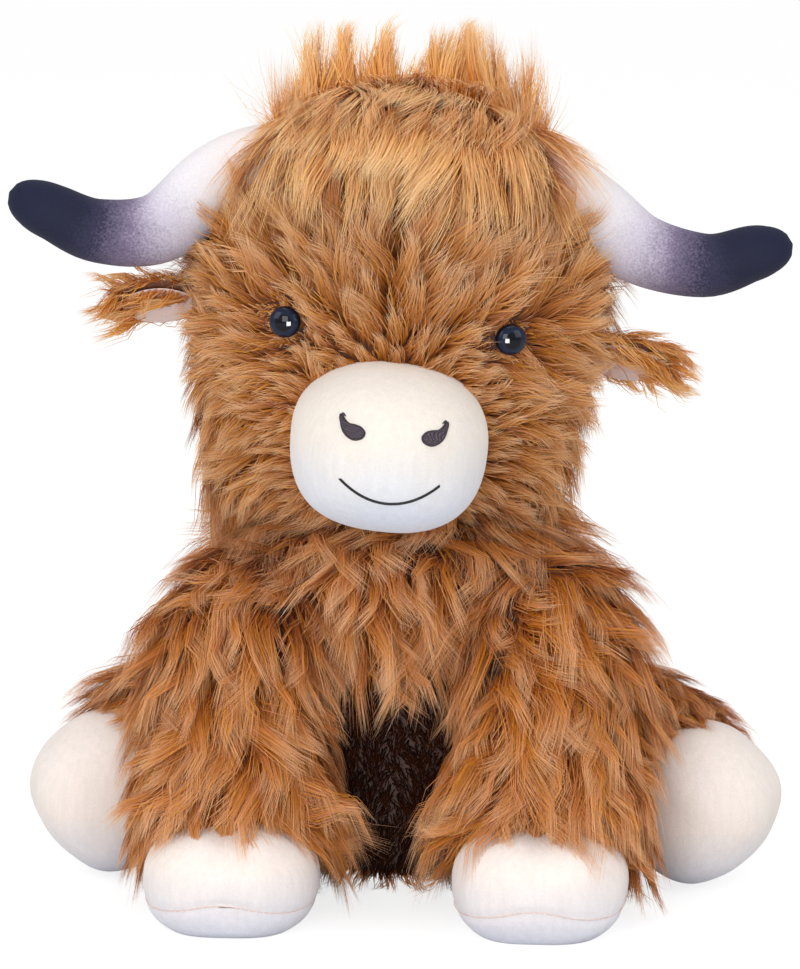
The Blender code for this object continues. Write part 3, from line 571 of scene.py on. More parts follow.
    def pathOf(root, up, way, pathReach, turn):
        links = {"Reach": pathReach, "Turn": turn} | shared
        for key, label in (("Root", root), ("Up", up), ("Way", way)):
            links[key] = named(tree, label, "FLOAT_VECTOR")
        node = addNode(tree, "GeometryNodeGroup", node_tree=strandPath)
        for key, value in links.items():
            tree.links.new(value, node.inputs[key])
        return node

    own = pathOf("rootAt", "rootUp", "comb", ownReach, turned)
    group = pathOf("lockAt", "lockUp", "lockWay", lockReach, named(tree, "lockTurn"))
    pull = addNode(
        tree,
        "ShaderNodeMapRange",
        {0: along, 1: 0.05, 2: 0.95, 3: 0.0, 4: 1.0},
        interpolation_type="SMOOTHSTEP",
    ).outputs[0]
    # A few strands stay out of their lock
    keen = addNode(
        tree, "ShaderNodeMapRange", {0: named(tree, "ownPull"), 1: 0.02, 2: 0.30, 3: 0.1, 4: 1.0}
    ).outputs[0]
    # Locks fray at their tips
    fray = sums(tree, "POWER", along, strandLook["frayPower"])
    fray = sums(tree, "MULTIPLY_ADD", fray, -strandLook["fray"], 1.0)
    pull = product(tree, pull, keen, given["Lock pull"], fray)
    middle = addNode(
        tree,
        "ShaderNodeMix",
        {0: pull, 4: own.outputs["Place"], 5: group.outputs["Place"]},
        data_type="VECTOR",
    ).outputs[1]
    twist = named(tree, "ownTwist")
    wide = arrows(
        tree,
        "ADD",
        scaled(tree, own.outputs["Across"], sums(tree, "COSINE", twist)),
        scaled(tree, own.outputs["Out"], sums(tree, "SINE", twist)),
    )
    taper = sums(tree, "POWER", along, strandLook["taperPower"])
    taper = sums(tree, "MULTIPLY_ADD", taper, -strandLook["taper"], 1.0)
    width = product(tree, taper, given["Width"], across)
    spotNow = arrows(tree, "ADD", middle, scaled(tree, wide, width))
    # Nothing goes below what the cow sits on
    flat = addNode(tree, "ShaderNodeSeparateXYZ", {0: spotNow})
    floorHeight = sums(tree, "MULTIPLY", named(tree, "ownPull"), strandLook["floorSpread"])
    floorHeight = sums(tree, "ADD", floorHeight, strandLook["floor"])
    level = sums(tree, "MAXIMUM", flat.outputs[2], floorHeight)
    spotNow = addNode(
        tree, "ShaderNodeCombineXYZ", {0: flat.outputs[0], 1: flat.outputs[1], 2: level}
    ).outputs[0]
    strands = addNode(tree, "GeometryNodeSetPosition", {"Geometry": strands, "Position": spotNow}).outputs[0]

    # The map: a column for the strand's tone, up it from root to tip
    tone = sums(tree, "MULTIPLY", named(tree, "ownTone"), strandLook["ownTone"])
    tone = sums(tree, "MULTIPLY_ADD", named(tree, "lockTone"), strandLook["lockTone"], tone)
    tone = sums(tree, "MULTIPLY_ADD", tone, given["Tone spread"], given["Tone"])
    tone = sums(tree, "ADD", tone, named(tree, "shade"))
    tone = sums(tree, "MINIMUM", sums(tree, "MAXIMUM", tone, 0.0), 0.999)
    column = sums(tree, "FLOOR", sums(tree, "MULTIPLY", tone, float(pileColumns)))
    mapX = sums(tree, "ADD", sums(tree, "MULTIPLY_ADD", across, 0.7, column), 0.5)
    mapX = sums(tree, "DIVIDE", mapX, float(pileColumns))
    mapY = sums(tree, "MULTIPLY_ADD", along, 0.97, 0.015)
    mapSpot = addNode(tree, "ShaderNodeCombineXYZ", {0: mapX, 1: mapY}).outputs[0]
    strands = stored(tree, strands, "OFBake", mapSpot, "FLOAT2", "CORNER")
    strands = addNode(tree, "GeometryNodeSetMaterial", {"Geometry": strands, "Material": given["Material"]})
    tree.links.new(strands.outputs[0], out["Pile"])
    return tree


furPile = pileTree()
pileCount = [0]


def addField(mesh, label, values, kind="FLOAT"):
    field = mesh.attributes.new(label, kind, "POINT")
    rows = np.asarray(values, np.float32).ravel()
    field.data.foreach_set("vector" if kind == "FLOAT_VECTOR" else "value", rows)


# A copy of the cloth's mesh that carries how fur stands and lies at each of its points
def combed(cloth, direction, reach=1.0, thick=1.0, lift=0.8, lay=0.1, shade=0.0):
    mesh = cloth.data.copy()
    count = len(mesh.vertices)
    normals = normalsOf(mesh)
    rows = np.broadcast_to(np.asarray(direction, float), (count, 3))
    addField(mesh, "comb", unit(rows - (rows * normals).sum(1, keepdims=True) * normals), "FLOAT_VECTOR")
    for label, value in (("reach", reach), ("thick", thick), ("lift", lift), ("lay", lay), ("shade", shade)):
        addField(mesh, label, np.broadcast_to(np.asarray(value, float), (count,)))
    return mesh


# No hair reaches higher, or further back, than this: what would is pressed together before it
hairRoom = {"top": (2, 0.3455, 0.3533), "back": (1, 0.1200, 0.1285)}


# Grows fur on a combed mesh and leaves it as a plain mesh that rides on that body
def growPile(name, bed, body, look, material):
    holder = newObject(name + "Bed", bed)
    grown = holder.modifiers.new("Fur", "NODES")
    grown.node_group = furPile
    for item in furPile.interface.items_tree:
        if item.item_type != "SOCKET" or item.in_out != "INPUT":
            continue
        if item.name in look:
            grown[item.identifier] = look[item.name]
        if item.name == "Material":
            grown[item.identifier] = material
    mesh = finished(holder)
    throwAway(holder)
    for label in [field.name for field in mesh.attributes]:
        if label not in ("position", "OFBake", "material_index") and not label.startswith("."):
            mesh.attributes.remove(mesh.attributes[label])
    mesh.name = name
    mesh.shade_smooth()
    rows = pointsOf(mesh)
    for axis, begin, end in hairRoom.values():
        over = np.maximum(rows[:, axis] - begin, 0)
        rows[:, axis] = np.minimum(rows[:, axis], begin) + (end - begin) * (1 - np.exp(-over / (end - begin)))
    putPoints(mesh, rows)
    pile = newObject(name, mesh, material)
    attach(pile, body)
    count = triangles(mesh)
    pileCount[0] += count
    print("pile", name, count, "triangles")
    return pile


# Cloth forms under the fur


# The outer form of CAD nodes that swell and taper
def hullOf(*nodes):
    shape = bmesh.new()
    for node in nodes:
        shape.from_mesh(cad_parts[node].data)
    bmesh.ops.remove_doubles(shape, verts=shape.verts[:], dist=1e-5)
    made = bmesh.ops.convex_hull(shape, input=shape.verts[:])
    spare = {e for e in made["geom_interior"] + made["geom_unused"] if isinstance(e, bmesh.types.BMVert)}
    bmesh.ops.delete(shape, geom=list(spare), context="VERTS")
    bmesh.ops.recalc_face_normals(shape, faces=shape.faces[:])
    mesh = bpy.data.meshes.new("hull")
    shape.to_mesh(mesh)
    shape.free()
    return mesh


# A closed cloth form that lies the pile's depth inside the CAD solid
def clothForm(name, nodes, look, material):
    rough = newObject(name + "Rough", hullOf(*nodes))
    grid = rough.modifiers.new("Grid", "REMESH")
    grid.mode = "VOXEL"
    grid.voxel_size = look["voxel"]
    soft = rough.modifiers.new("Soften", "SMOOTH")
    soft.factor = 0.5
    soft.iterations = 12
    mesh = finished(rough)
    throwAway(rough)
    putPoints(mesh, pointsOf(mesh) - normalsOf(mesh) * look["depth"])
    mesh.name = name
    mesh.shade_smooth()
    return newObject(name, mesh, material)


# Directions laid along the surface and turned about its normals
def turnedBy(direction, normals, angles):
    along = unit(direction - (direction * normals).sum(1, keepdims=True) * normals)
    side = np.cross(normals, along)
    return along * np.cos(angles)[:, None] + side * np.sin(angles)[:, None]


# A line from inside a closed form leaves it an odd number of times
def isInside(tree, spot):
    way = Vector((0.31, 0.17, 0.93)).normalized()
    crossings = 0
    while True:
        place = tree.ray_cast(spot, way)[0]
        if place is None:
            return crossings % 2 == 1
        crossings += 1
        spot = place + way * 1e-5


# 0 for points inside any of the other closed forms, 1 for those that clear them by that room
def clearOf(points, others, room=0.002):
    clear = np.ones(len(points))
    for other in others:
        tree = BVHTree.FromObject(other, bpy.context.evaluated_depsgraph_get())
        for i, point in enumerate(points):
            spot = Vector(point)
            gap = tree.find_nearest(spot)[3]
            if gap < 0.05 and isInside(tree, spot):
                clear[i] = 0
            elif gap < room:
                clear[i] = min(clear[i], gap / room)
    return clear


# Shortens fur that would run over an egg-shaped thing ahead of it by more than spare
def stopShort(points, direction, length, centre, radii, turn, reach, spare):
    limit = np.full(len(points), 9.0)
    for step in np.linspace(0, 1, 15)[::-1]:
        ahead = (points + direction * length * step - centre) @ turn
        inside = ((ahead / radii) ** 2).sum(1) < 1
        limit = np.where(inside, np.minimum(limit, step + spare / length), limit)
    return np.minimum(reach, np.maximum(limit, 0.12))


# The angle above the surface at which those directions stand off it
def standing(direction, normals):
    direction = unit(direction)
    return np.arcsin(np.clip((direction * normals).sum(1), -0.98, 0.98))


furLook = {
    "Strands per square metre": 700000.0,
    "Lock spacing": 0.0054,
    "Length": 0.030,
    "Length spread": 0.28,
    "Width": 0.00042,
    "Lock pull": 0.90,
    "Lock scatter": 0.74,
    "Strand scatter": 0.22,
    "Droop": 0.34,
    "Wave": 0.24,
    "Tone": 0.44,
    "Tone spread": 0.36,
    "Bends": 4,
    "Seed": 1,
    "Strand seed": 12,
    "Shortest strand": 0.66,
}
underLook = furLook | {
    "Strands per square metre": 400000.0,
    "Length": 0.020,
    "Width": 0.00095,
    "Lock pull": 0.50,
    "Strand scatter": 0.6,
    "Tone": 0.34,
    "Bends": 2,
    "Strand seed": 82,
}
topLook = furLook | {
    "Strands per square metre": 470000.0,
    "Length": 0.0315,
    "Width": 0.00036,
    "Lock pull": 0.84,
    "Tone": 0.66,
    "Strand seed": 16,
}
# Fewer and broader strands for the back
backLook = {"Bends": 3, "Width": 0.0006, "Strands per square metre": 600000.0}
# The head's fur is finer and falls in smaller locks
headLook = {
    "Lock spacing": 0.0048,
    "Lock pull": 0.84,
    "Lock scatter": 0.48,
    "Droop": 0.10,
    "Wave": 0.11,
}

# The cloth of every furry part, inside its CAD cover
clothLook = {"depth": 0.0100, "voxel": 0.0036}
# Of each hoof: how far the seam parts upper and sole, and how deep the groove there is
frontHoofLook = {
    "centre": (0.061, -0.082, 0.019),
    "half": (0.0345, 0.0365, 0.024),
    "seam": 0.012,
    "seamRise": 0.0036,
    "split": 0.00015,
    "groove": 0.016,
    "crease": 0.0011,
}
hindHoofLook = {
    "centre": (0.120, -0.001, 0.034),
    "half": (0.032, 0.0315, 0.030),
    "seam": 0.015,
    "soleWay": (0.74, -0.22, -0.62),
    "split": -0.0006,
    "groove": 0.0,
}
muzzleLook = {"middle": (0.0, -0.066, -0.0345), "half": (0.0385, 0.052, 0.0325), "squareness": 0.86}
eyeLook = {
    "spread": 0.0445,
    "rise": 0.010,
    "radius": 0.0062,
    "dome": 0.0048,
    "sink": 0.0030,
    "rim": 0.0010,
    "shank": 0.0018,
    "outward": 0.35,
    # Fur ends round an egg of this half size over the eye, also when it strays by these angles
    "bare": (0.0072, 0.03, 0.0072),
    "stray": (-0.55, 0.0, 0.55),
}
muzzleMiddle = np.array(muzzleLook["middle"])


def hindHoofTurn(sign):
    away = Vector((sign * hindHoofLook["soleWay"][0], *hindHoofLook["soleWay"][1:])).normalized()
    return (-away).to_track_quat("Z", "Y").to_matrix()


def coverCloth(name, node, body, material=backing):
    cloth = clothForm(name, [node], clothLook, material)
    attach(cloth, body)
    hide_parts(node)
    return cloth


# Undercoat, fur and locks on one cloth, in pieces named after the part and its side
def growCoat(part, label, cloth, fields, body, change, material):
    for layer, look in (("Undercoat", underLook), ("Fur", furLook), ("Locks", topLook)):
        growPile(part + layer + label, combed(cloth, *fields), body, look | change, material)


headCloth = coverCloth("headCloth", "head_cover", "head")
bodyCloth = coverCloth("bodyCloth", "body_cover", "body")
crownCloth = coverCloth("forelockCloth", "forelock", "head", crownBacking)
frontCloth, hindCloth = {}, {}
for label, side, sign in sides:
    body = f"front_leg_{side}"
    frontCloth[side] = coverCloth("frontLegCloth" + label, body + "_cover", body)
    body = f"hind_leg_{side}"
    hindCloth[side] = coverCloth("hindLegCloth" + label, body + "_cover", body)
legCloths = [*frontCloth.values(), *hindCloth.values()]
print("cloth done")

# Fur of the head: it grows away from the muzzle and hangs at the back. The shares are of the fur's
# length, added under chin and jowls and taken away on the cheeks and round the eyes
headCut = {"chin": 0.30, "jowl": 0.40, "leftCheek": 0.34, "rightCheek": 0.20, "eyes": 0.45}
points, normals = pointsOf(headCloth.data), normalsOf(headCloth.data)
own = inHead(points)
fromMuzzle = own - muzzleMiddle
front = share(0.030, -0.030, own[:, 1])
radial = unit(np.stack([fromMuzzle[:, 0], np.full(len(own), 0.018), fromMuzzle[:, 2] * 0.95], axis=1))
wayOut = share(0.030, 0.075, np.abs(own[:, 0]))
radial[:, 2] -= (0.42 + 0.50 * share(0.015, -0.03, own[:, 2])) * wayOut * share(0.055, 0.0, own[:, 2])
hanging = unit(np.stack([own[:, 0] * 4, own[:, 1] * 2, -np.ones(len(own))], axis=1))
direction = radial * front[:, None] + hanging * (1 - front)[:, None]
roundEyes = np.zeros(len(own))
for _, _, sign in sides:
    fromEye = own - np.array([sign * eyeLook["spread"], 0.0, eyeLook["rise"]])
    fromEye[:, 1] = 0.004
    near = np.exp(-((np.linalg.norm(fromEye, axis=1) / 0.0125) ** 2)) * share(0.0, -0.02, own[:, 1])
    direction = direction * (1 - near)[:, None] + unit(fromEye) * near[:, None]
    roundEyes = np.maximum(roundEyes, near)
direction = direction @ headTurn.T
direction = turnedBy(direction, normals, wander(points, 0.030, 1) * 0.42 * (1 - roundEyes))
muzzleWide, _, muzzleTall = muzzleLook["half"]
outsideMuzzle = np.sqrt((fromMuzzle[:, 0] / muzzleWide) ** 2 + (fromMuzzle[:, 2] / muzzleTall) ** 2)
onFront = own[:, 1] < -0.02
thick = np.where(onFront & (outsideMuzzle < 0.86), 0.0, 1.0) * clearOf(points, [crownCloth])
reach = np.where(onFront, 0.40 + 0.60 * share(0.9, 1.8, outsideMuzzle), 1.0)
for _, _, sign in sides:
    eyeSpot = fromHead(np.array([[sign * eyeLook["spread"], -0.055, eyeLook["rise"]]]))[0]
    bare = np.array(eyeLook["bare"])
    for angle in eyeLook["stray"]:
        bent = turnedBy(direction, normals, np.full(len(points), angle))
        reach = stopShort(points, bent, furLook["Length"], eyeSpot, bare, headTurn, reach, -0.003)
chin = share(-0.042, -0.066, own[:, 2])
jowl = share(-0.028, -0.050, own[:, 2]) * share(0.035, 0.055, np.abs(own[:, 0]))
cheek = share(0.045, 0.065, np.abs(own[:, 0])) * share(0.030, 0.010, own[:, 2]) * (1 - jowl)
cheek = cheek * np.where(own[:, 0] < 0, headCut["leftCheek"], headCut["rightCheek"])
added = 1 + headCut["chin"] * chin + headCut["jowl"] * jowl - cheek
reach = reach * added * (1 - headCut["eyes"] * roundEyes)
# Painted light: the chin's fur is lighter to lift the shadow that falls under the head
shade = wander(points, 0.035, 5) * 0.08 + 0.02 + 0.18 * chin
lift = 0.84 + 0.2 * share(-0.5, -0.9, normals[:, 2]) - 0.2 * roundEyes
lay = 0.22 - 0.18 * roundEyes
backward = share(0.005, 0.02, points[:, 1])
headFront = combed(headCloth, direction, reach, thick * (1 - backward), lift, lay, shade)
headBack = combed(headCloth, direction, reach, thick * backward, lift, lay, shade)
headAll = combed(headCloth, direction, reach, thick, lift, 0.12, shade)
# The face's fur and locks take lighter tones than the body's: painted light on the head
frontChange = {"Strands per square metre": 580000.0, "Tone": 0.56}
growPile("headUndercoat", headAll, "head", underLook | headLook | {"Lock pull": 0.5, "Tone": 0.36}, litHeadPile)
growPile("headFur", headFront, "head", furLook | headLook | frontChange, litHeadPile)
growPile("headLocks", headFront.copy(), "head", topLook | headLook | {"Tone": 0.72}, litHeadPile)
growPile("headFurBack", headBack, "head", furLook | headLook | backLook, litHeadPile)
print("head done")

# Fur of the body: it hangs, longer over the chest and short between the legs, where its dark colour is
# painted shadow
points, normals = pointsOf(bodyCloth.data), normalsOf(bodyCloth.data)
direction = np.stack([points[:, 0] * 6, (points[:, 1] - 0.005) * 3, -np.ones(len(points))], axis=1)
direction = turnedBy(direction, normals, wander(points, 0.035, 2) * 0.45)
underneath = share(-0.55, -0.85, normals[:, 2])
facing = share(-0.2, -0.6, normals[:, 1])
between = facing * share(0.110, 0.096, points[:, 2]) * share(0.046, 0.026, np.abs(points[:, 0]))
chest = facing * share(0.075, 0.100, points[:, 2])
flank = share(0.5, 0.8, np.abs(normals[:, 0])) * share(0.06, 0.09, points[:, 2])
neck = share(0.120, 0.140, points[:, 2])
overHollow = facing * share(0.155, 0.130, points[:, 2]) * share(0.050, 0.030, np.abs(points[:, 0]))
shoulders = neck * share(0.02, 0.05, np.abs(points[:, 0]))
reach = 1 + 0.22 * chest - 0.34 * overHollow + 0.2 * flank + 0.15 * neck + 0.30 * shoulders
reach = reach * (1 - 0.6 * between) * (1 - 0.72 * underneath)
thick = (1 - 0.6 * underneath) * clearOf(points, legCloths, 0.001)
lift = 0.86 + 0.16 * flank + 0.10 * chest
lay = 0.22 + 0.10 * chest
# Painted light: the neck's fur is lighter where the head's shadow falls on it
shade = wander(points, 0.04, 6) * 0.08 + 0.20 * neck
backward = share(-0.005, 0.010, points[:, 1])
hollow = share(0.25, 0.45, between)
# Painted shade: the hollow's fur darker still towards the floor
hollowPaintedShade = -0.25 * share(0.090, 0.060, points[:, 2])
hollowFront = combed(bodyCloth, direction, reach * 0.8, thick * hollow, lift, 0.10, hollowPaintedShade)
thick = thick * (1 - hollow)
bodyFront = combed(bodyCloth, direction, reach, thick * (1 - backward), lift, lay, shade)
bodyBack = combed(bodyCloth, direction, reach, thick * backward, lift, lay, shade)
bodyAll = combed(bodyCloth, direction, reach, thick, lift, 0.10, shade)
hollowLook = underLook | {
    "Strands per square metre": 700000.0,
    "Length": 0.024,
    "Width": 0.0005,
    "Bends": 3,
    "Seed": 35,
}
bodySeed = {"Seed": 9}
underBody = underLook | bodySeed | {"Strands per square metre": 340000.0}
growPile("bodyUndercoat", bodyAll, "body", underBody, brownPile)
growPile("bodyFur", bodyFront, "body", furLook | bodySeed, brownPile)
growPile("bodyLocks", bodyFront.copy(), "body", topLook | bodySeed, brownPile)
growPile("bodyFurBack", bodyBack, "body", furLook | bodySeed | backLook, brownPile)
growPile("bodyHollow", hollowFront, "body", hollowLook, hollowShadowPile)
print("body done")

# Fur of the legs
for label, side, sign in sides:
    # Front leg: the fur falls from the shoulder and parts round the hoof
    cloth, body = frontCloth[side], f"front_leg_{side}"
    points, normals = pointsOf(cloth.data), normalsOf(cloth.data)
    fan = share(0.115, 0.055, points[:, 2])
    direction = np.stack(
        [
            (points[:, 0] - sign * 0.062) * 17 * fan + points[:, 0] * 7 * (1 - fan),
            (points[:, 1] + 0.060) * 6 * fan + (points[:, 1] - 0.030) * 7 * (1 - fan),
            -np.ones(len(points)),
        ],
        axis=1,
    )
    inward = share(0.1, 0.5, -sign * normals[:, 0]) * share(0.080, 0.045, points[:, 2])
    direction[:, 0] -= sign * 0.9 * inward
    direction = turnedBy(direction, normals, wander(points, 0.030, 3 + sign) * 0.45)
    hoofCentre = np.array([sign * frontHoofLook["centre"][0], *frontHoofLook["centre"][1:]])
    hoofHalf = np.array(frontHoofLook["half"])
    reach = np.minimum(1.0, 0.45 + points[:, 2] / 0.05)
    turn = np.eye(3)
    reach = stopShort(points, direction, furLook["Length"], hoofCentre, hoofHalf * 1.04, turn, reach, 0.007)
    inHoof = (((points - hoofCentre) / (hoofHalf * 0.97)) ** 2).sum(1) < 1
    thick = np.where(inHoof, 0.0, 1.0) * (1 - 0.8 * share(-0.6, -0.9, normals[:, 2]))
    thick = thick * clearOf(points, [bodyCloth, hindCloth[side]], 0.001)
    inner = share(0.35, 0.75, -sign * normals[:, 0]) * share(0.115, 0.09, points[:, 2])
    reach = reach * (1 - 0.42 * inner * share(0.055, 0.080, points[:, 2]))
    outer = share(0.2, 0.7, sign * normals[:, 0]) * share(0.095, 0.070, points[:, 2])
    reach = reach * (1 - 0.36 * outer)
    # Painted shade: the inner sides of the legs, facing the hollow, are darker
    shade = wander(points, 0.04, 7 + sign) * 0.08 - 0.12 * inner
    lift = 0.88 - 0.15 * share(0.5, 0.9, normals[:, 2]) - 0.15 * outer
    fields = (direction, reach, thick, lift, 0.26, shade)
    growCoat("frontLeg", label, cloth, fields, body, {"Seed": 13 + sign}, brownPile)

    # Hind leg: the fur points out to the hoof
    cloth, body = hindCloth[side], f"hind_leg_{side}"
    points, normals = pointsOf(cloth.data), normalsOf(cloth.data)
    hub = np.array([sign * 0.074, 0.028, 0.0475])
    direction = np.array([sign * 0.75, -0.35, -0.62]) + (points - hub) * np.array([3.0, 6.0, 6.0])
    direction = turnedBy(direction, normals, wander(points, 0.030, 4 + sign) * 0.45)
    turn = np.array(hindHoofTurn(sign))
    hoofCentre = np.array([sign * hindHoofLook["centre"][0], *hindHoofLook["centre"][1:]])
    hoofHalf = np.array(hindHoofLook["half"])
    inHoof = ((((points - hoofCentre) @ turn) / (hoofHalf * 0.97)) ** 2).sum(1) < 1
    cut = 0.30 if side == "right" else 0.0
    reach = np.minimum(1.0, 0.35 + points[:, 2] / 0.05) * (1 - cut * share(0.045, 0.075, points[:, 2]))
    reach = stopShort(points, direction, furLook["Length"], hoofCentre, hoofHalf * 1.05, turn, reach, 0.006)
    thick = np.where(inHoof, 0.0, 1.0) * (1 - 0.8 * share(-0.6, -0.9, normals[:, 2]))
    thick = thick * clearOf(points, [bodyCloth, frontCloth[side]], 0.001)
    shade = wander(points, 0.04, 8 + sign) * 0.08 - 0.05
    fields = (direction, reach, thick, 0.92, 0.25, shade)
    growCoat("hindLeg", label, cloth, fields, body, {"Seed": 17 + sign}, brownPile)
print("legs done")

# Forelock: a golden fringe that falls from a ridge, spikes that stand on it and the forehead's fur
crownHair = furLook | {
    "Strands per square metre": 1400000.0,
    "Lock spacing": 0.0085,
    "Length": 0.036,
    "Length spread": 0.20,
    "Width": 0.00038,
    "Lock pull": 0.36,
    "Lock scatter": 0.16,
    "Strand scatter": 0.12,
    "Wave": 0.07,
    "Droop": 0.10,
    "Tone": 0.66,
    "Tone spread": 0.30,
    "Seed": 21,
}
spikeHair = crownHair | {
    "Strands per square metre": 2200000.0,
    "Lock spacing": 0.0060,
    "Length": 0.036,
    "Length spread": 0.12,
    "Lock pull": 0.45,
    "Lock scatter": 0.25,
    "Strand scatter": 0.25,
    "Droop": 0.0,
    "Tone": 0.56,
    "Width": 0.00036,
    "Shortest strand": 0.35,
    "Seed": 23,
}
# The ridge that the hair parts on, and the tufts that stand on it: place, height and half width
ridge = {
    "y": -0.020,
    "parting": 0.000,
    "fringeEnd": 0.078,
    "spikesFrom": 0.074,
    "leftFrom": 0.036,
    "strayReach": 0.44,
}
tufts = (
    (-0.0560, 1.95, 0.0060),
    (-0.040, 1.10, 0.0055),
    (-0.028, 1.02, 0.0070),
    (-0.013, 1.12, 0.0040),
    (0.008, 0.92, 0.0065),
    (0.021, 1.00, 0.0080),
    (0.034, 1.06, 0.0070),
    (0.046, 1.20, 0.0035),
    (0.056, 1.05, 0.0040),
)
# How far the fringe sweeps to either side, from left to right
sweep = {
    "at": (-0.060, -0.040, -0.012, 0.010, 0.025, 0.040, 0.060),
    "side": (-0.9, -0.2, 0.0, -0.70, -0.2, 0.7, 1.0),
}
points, normals = pointsOf(crownCloth.data), normalsOf(crownCloth.data)
own = inHead(points)
away = own[:, 1] - ridge["y"]
side = np.interp(own[:, 0], sweep["at"], sweep["side"])
forward = share(0.004, -0.004, own[:, 1] - ridge["parting"])
sideways = side * share(0.02, -0.01, away)
direction = np.stack([sideways, 0.9 - 1.8 * forward, -np.full(len(own), 0.8)], axis=1)
direction[:, 0] += own[:, 0] * 8 * (1 - forward)
direction = turnedBy(direction @ headTurn.T, normals, wander(points, 0.025, 9) * 0.22)
low = share(ridge["fringeEnd"] + 0.003, ridge["fringeEnd"] - 0.004, own[:, 2]) * share(0.002, -0.008, away)
underneath = share(0.05, -0.35, normals[:, 2]) * (1 - low)
top = share(0.90, 0.985, normals[:, 2])
toRight = share(0.030, 0.050, own[:, 0])
toLeft = share(-0.038, -0.056, own[:, 0])
reach = 1 + 0.35 * toRight + 0.25 * toLeft
lift = 0.46 + 0.10 * top + 0.30 * toLeft
shade = wander(points, 0.03, 10) * 0.10 + 0.06
fields = (direction, reach, (1 - low) * (1 - underneath), lift, 0.0, shade)
growPile("forelockHair", combed(crownCloth, *fields), "head", crownHair, crownPile)
height = np.full(len(own), ridge["strayReach"])
gather = np.zeros(len(own))
weights = np.full(len(own), 1e-6)
for at, tall, wide in tufts:
    near = np.exp(-(((own[:, 0] - at) / wide) ** 2))
    height += (tall - ridge["strayReach"]) * near
    gather += near * (at - own[:, 0]) * 45
    weights += near
foot = np.interp(own[:, 0], (-0.058, -0.046), (ridge["leftFrom"], ridge["spikesFrom"]))
onRidge = share(0.014, 0.007, np.abs(away - 0.009)) * share(foot - 0.012, foot, own[:, 2])
gather = gather / np.maximum(weights, 0.4)
upright = np.stack([own[:, 0] + gather, 0.42 - away * 6, np.ones(len(own))], axis=1)
upright = upright @ headTurn.T
angle = standing(upright, normals)
leanFirst = turnedBy(upright, normals, wander(points, 0.010, 14) * 0.5)
thick = onRidge * np.clip(0.16 + weights, 0, 1)
fields = (leanFirst, height, thick, angle, angle - 0.16, 0.02)
growPile("forelockSpikes", combed(crownCloth, *fields), "head", spikeHair, crownPile)
upward = unit(np.stack([own[:, 0] * 6, np.full(len(own), 0.2), np.ones(len(own))], axis=1)) @ headTurn.T
upward = turnedBy(upward, normals, wander(points, 0.025, 1) * 0.4)
fields = (upward, 0.85, low, 0.75, 0.1, wander(points, 0.035, 5) * 0.10 + 0.12)
growCoat("forehead", "", crownCloth, fields, "head", headLook, litHeadPile)
print("forelock done")

# Ears: a furry back, a soft lining and hair that hangs over it
earLook = {
    "root": (0.0838, 0.004, -0.003),
    "raise": {"left": 0.0085, "right": 0.0},
    "tilt": 48.0,
    "droop": 6.0,
    "length": 0.0275,
    "halfWidth": 0.0128,
    "thickness": 0.0050,
    "cup": 0.0012,
    "liningInset": 0.0022,
    "liningStart": -0.0030,
    "backStart": -0.0060,
    # Half the width at shares of the length
    "outline": (
        (0.0, 0.60), (0.16, 0.84), (0.38, 1.0), (0.62, 0.97), (0.82, 0.78), (0.95, 0.44), (1.0, 0.02),
    ),
}


# Rows of numbers through the given ones, with that many steps between each two
def smoothRows(rows, steps):
    rows = [np.array(row, float) for row in rows]
    out = []
    for i in range(len(rows) - 1):
        a, b, c, d = rows[max(i - 1, 0)], rows[i], rows[i + 1], rows[min(i + 2, len(rows) - 1)]
        for step in range(steps):
            t = step / steps
            bend = t * (c - a) + t * t * (2 * a - 5 * b + 4 * c - d) + t**3 * (3 * b - a - 3 * c + d)
            out.append(b + bend / 2)
    out.append(rows[-1])
    return out


# A closed mesh from rings of points, each end closed by a face
def closedTube(name, rings):
    shape = bmesh.new()
    loops = [[shape.verts.new(p) for p in ring] for ring in rings]
    for a, b in zip(loops, loops[1:]):
        for k in range(len(a)):
            shape.faces.new((a[k], a[(k + 1) % len(a)], b[(k + 1) % len(a)], b[k]))
    shape.faces.new(loops[0])
    shape.faces.new(loops[-1])
    bmesh.ops.recalc_face_normals(shape, faces=shape.faces[:])
    mesh = bpy.data.meshes.new(name)
    shape.to_mesh(mesh)
    shape.free()
    mesh.shade_smooth()
    return mesh


def earFrame(side, sign):
    turn = Matrix.Rotation(math.radians(sign * earLook["droop"]), 4, "Y")
    turn = turn @ Matrix.Rotation(math.radians(-earLook["tilt"]), 4, "X")
    if sign < 0:
        turn = turn @ Matrix.Rotation(math.pi, 4, "Z")
    root = Vector((sign * earLook["root"][0], *earLook["root"][1:])) + Vector((0, 0, earLook["raise"][side]))
    return headFrame @ Matrix.Translation(root) @ turn


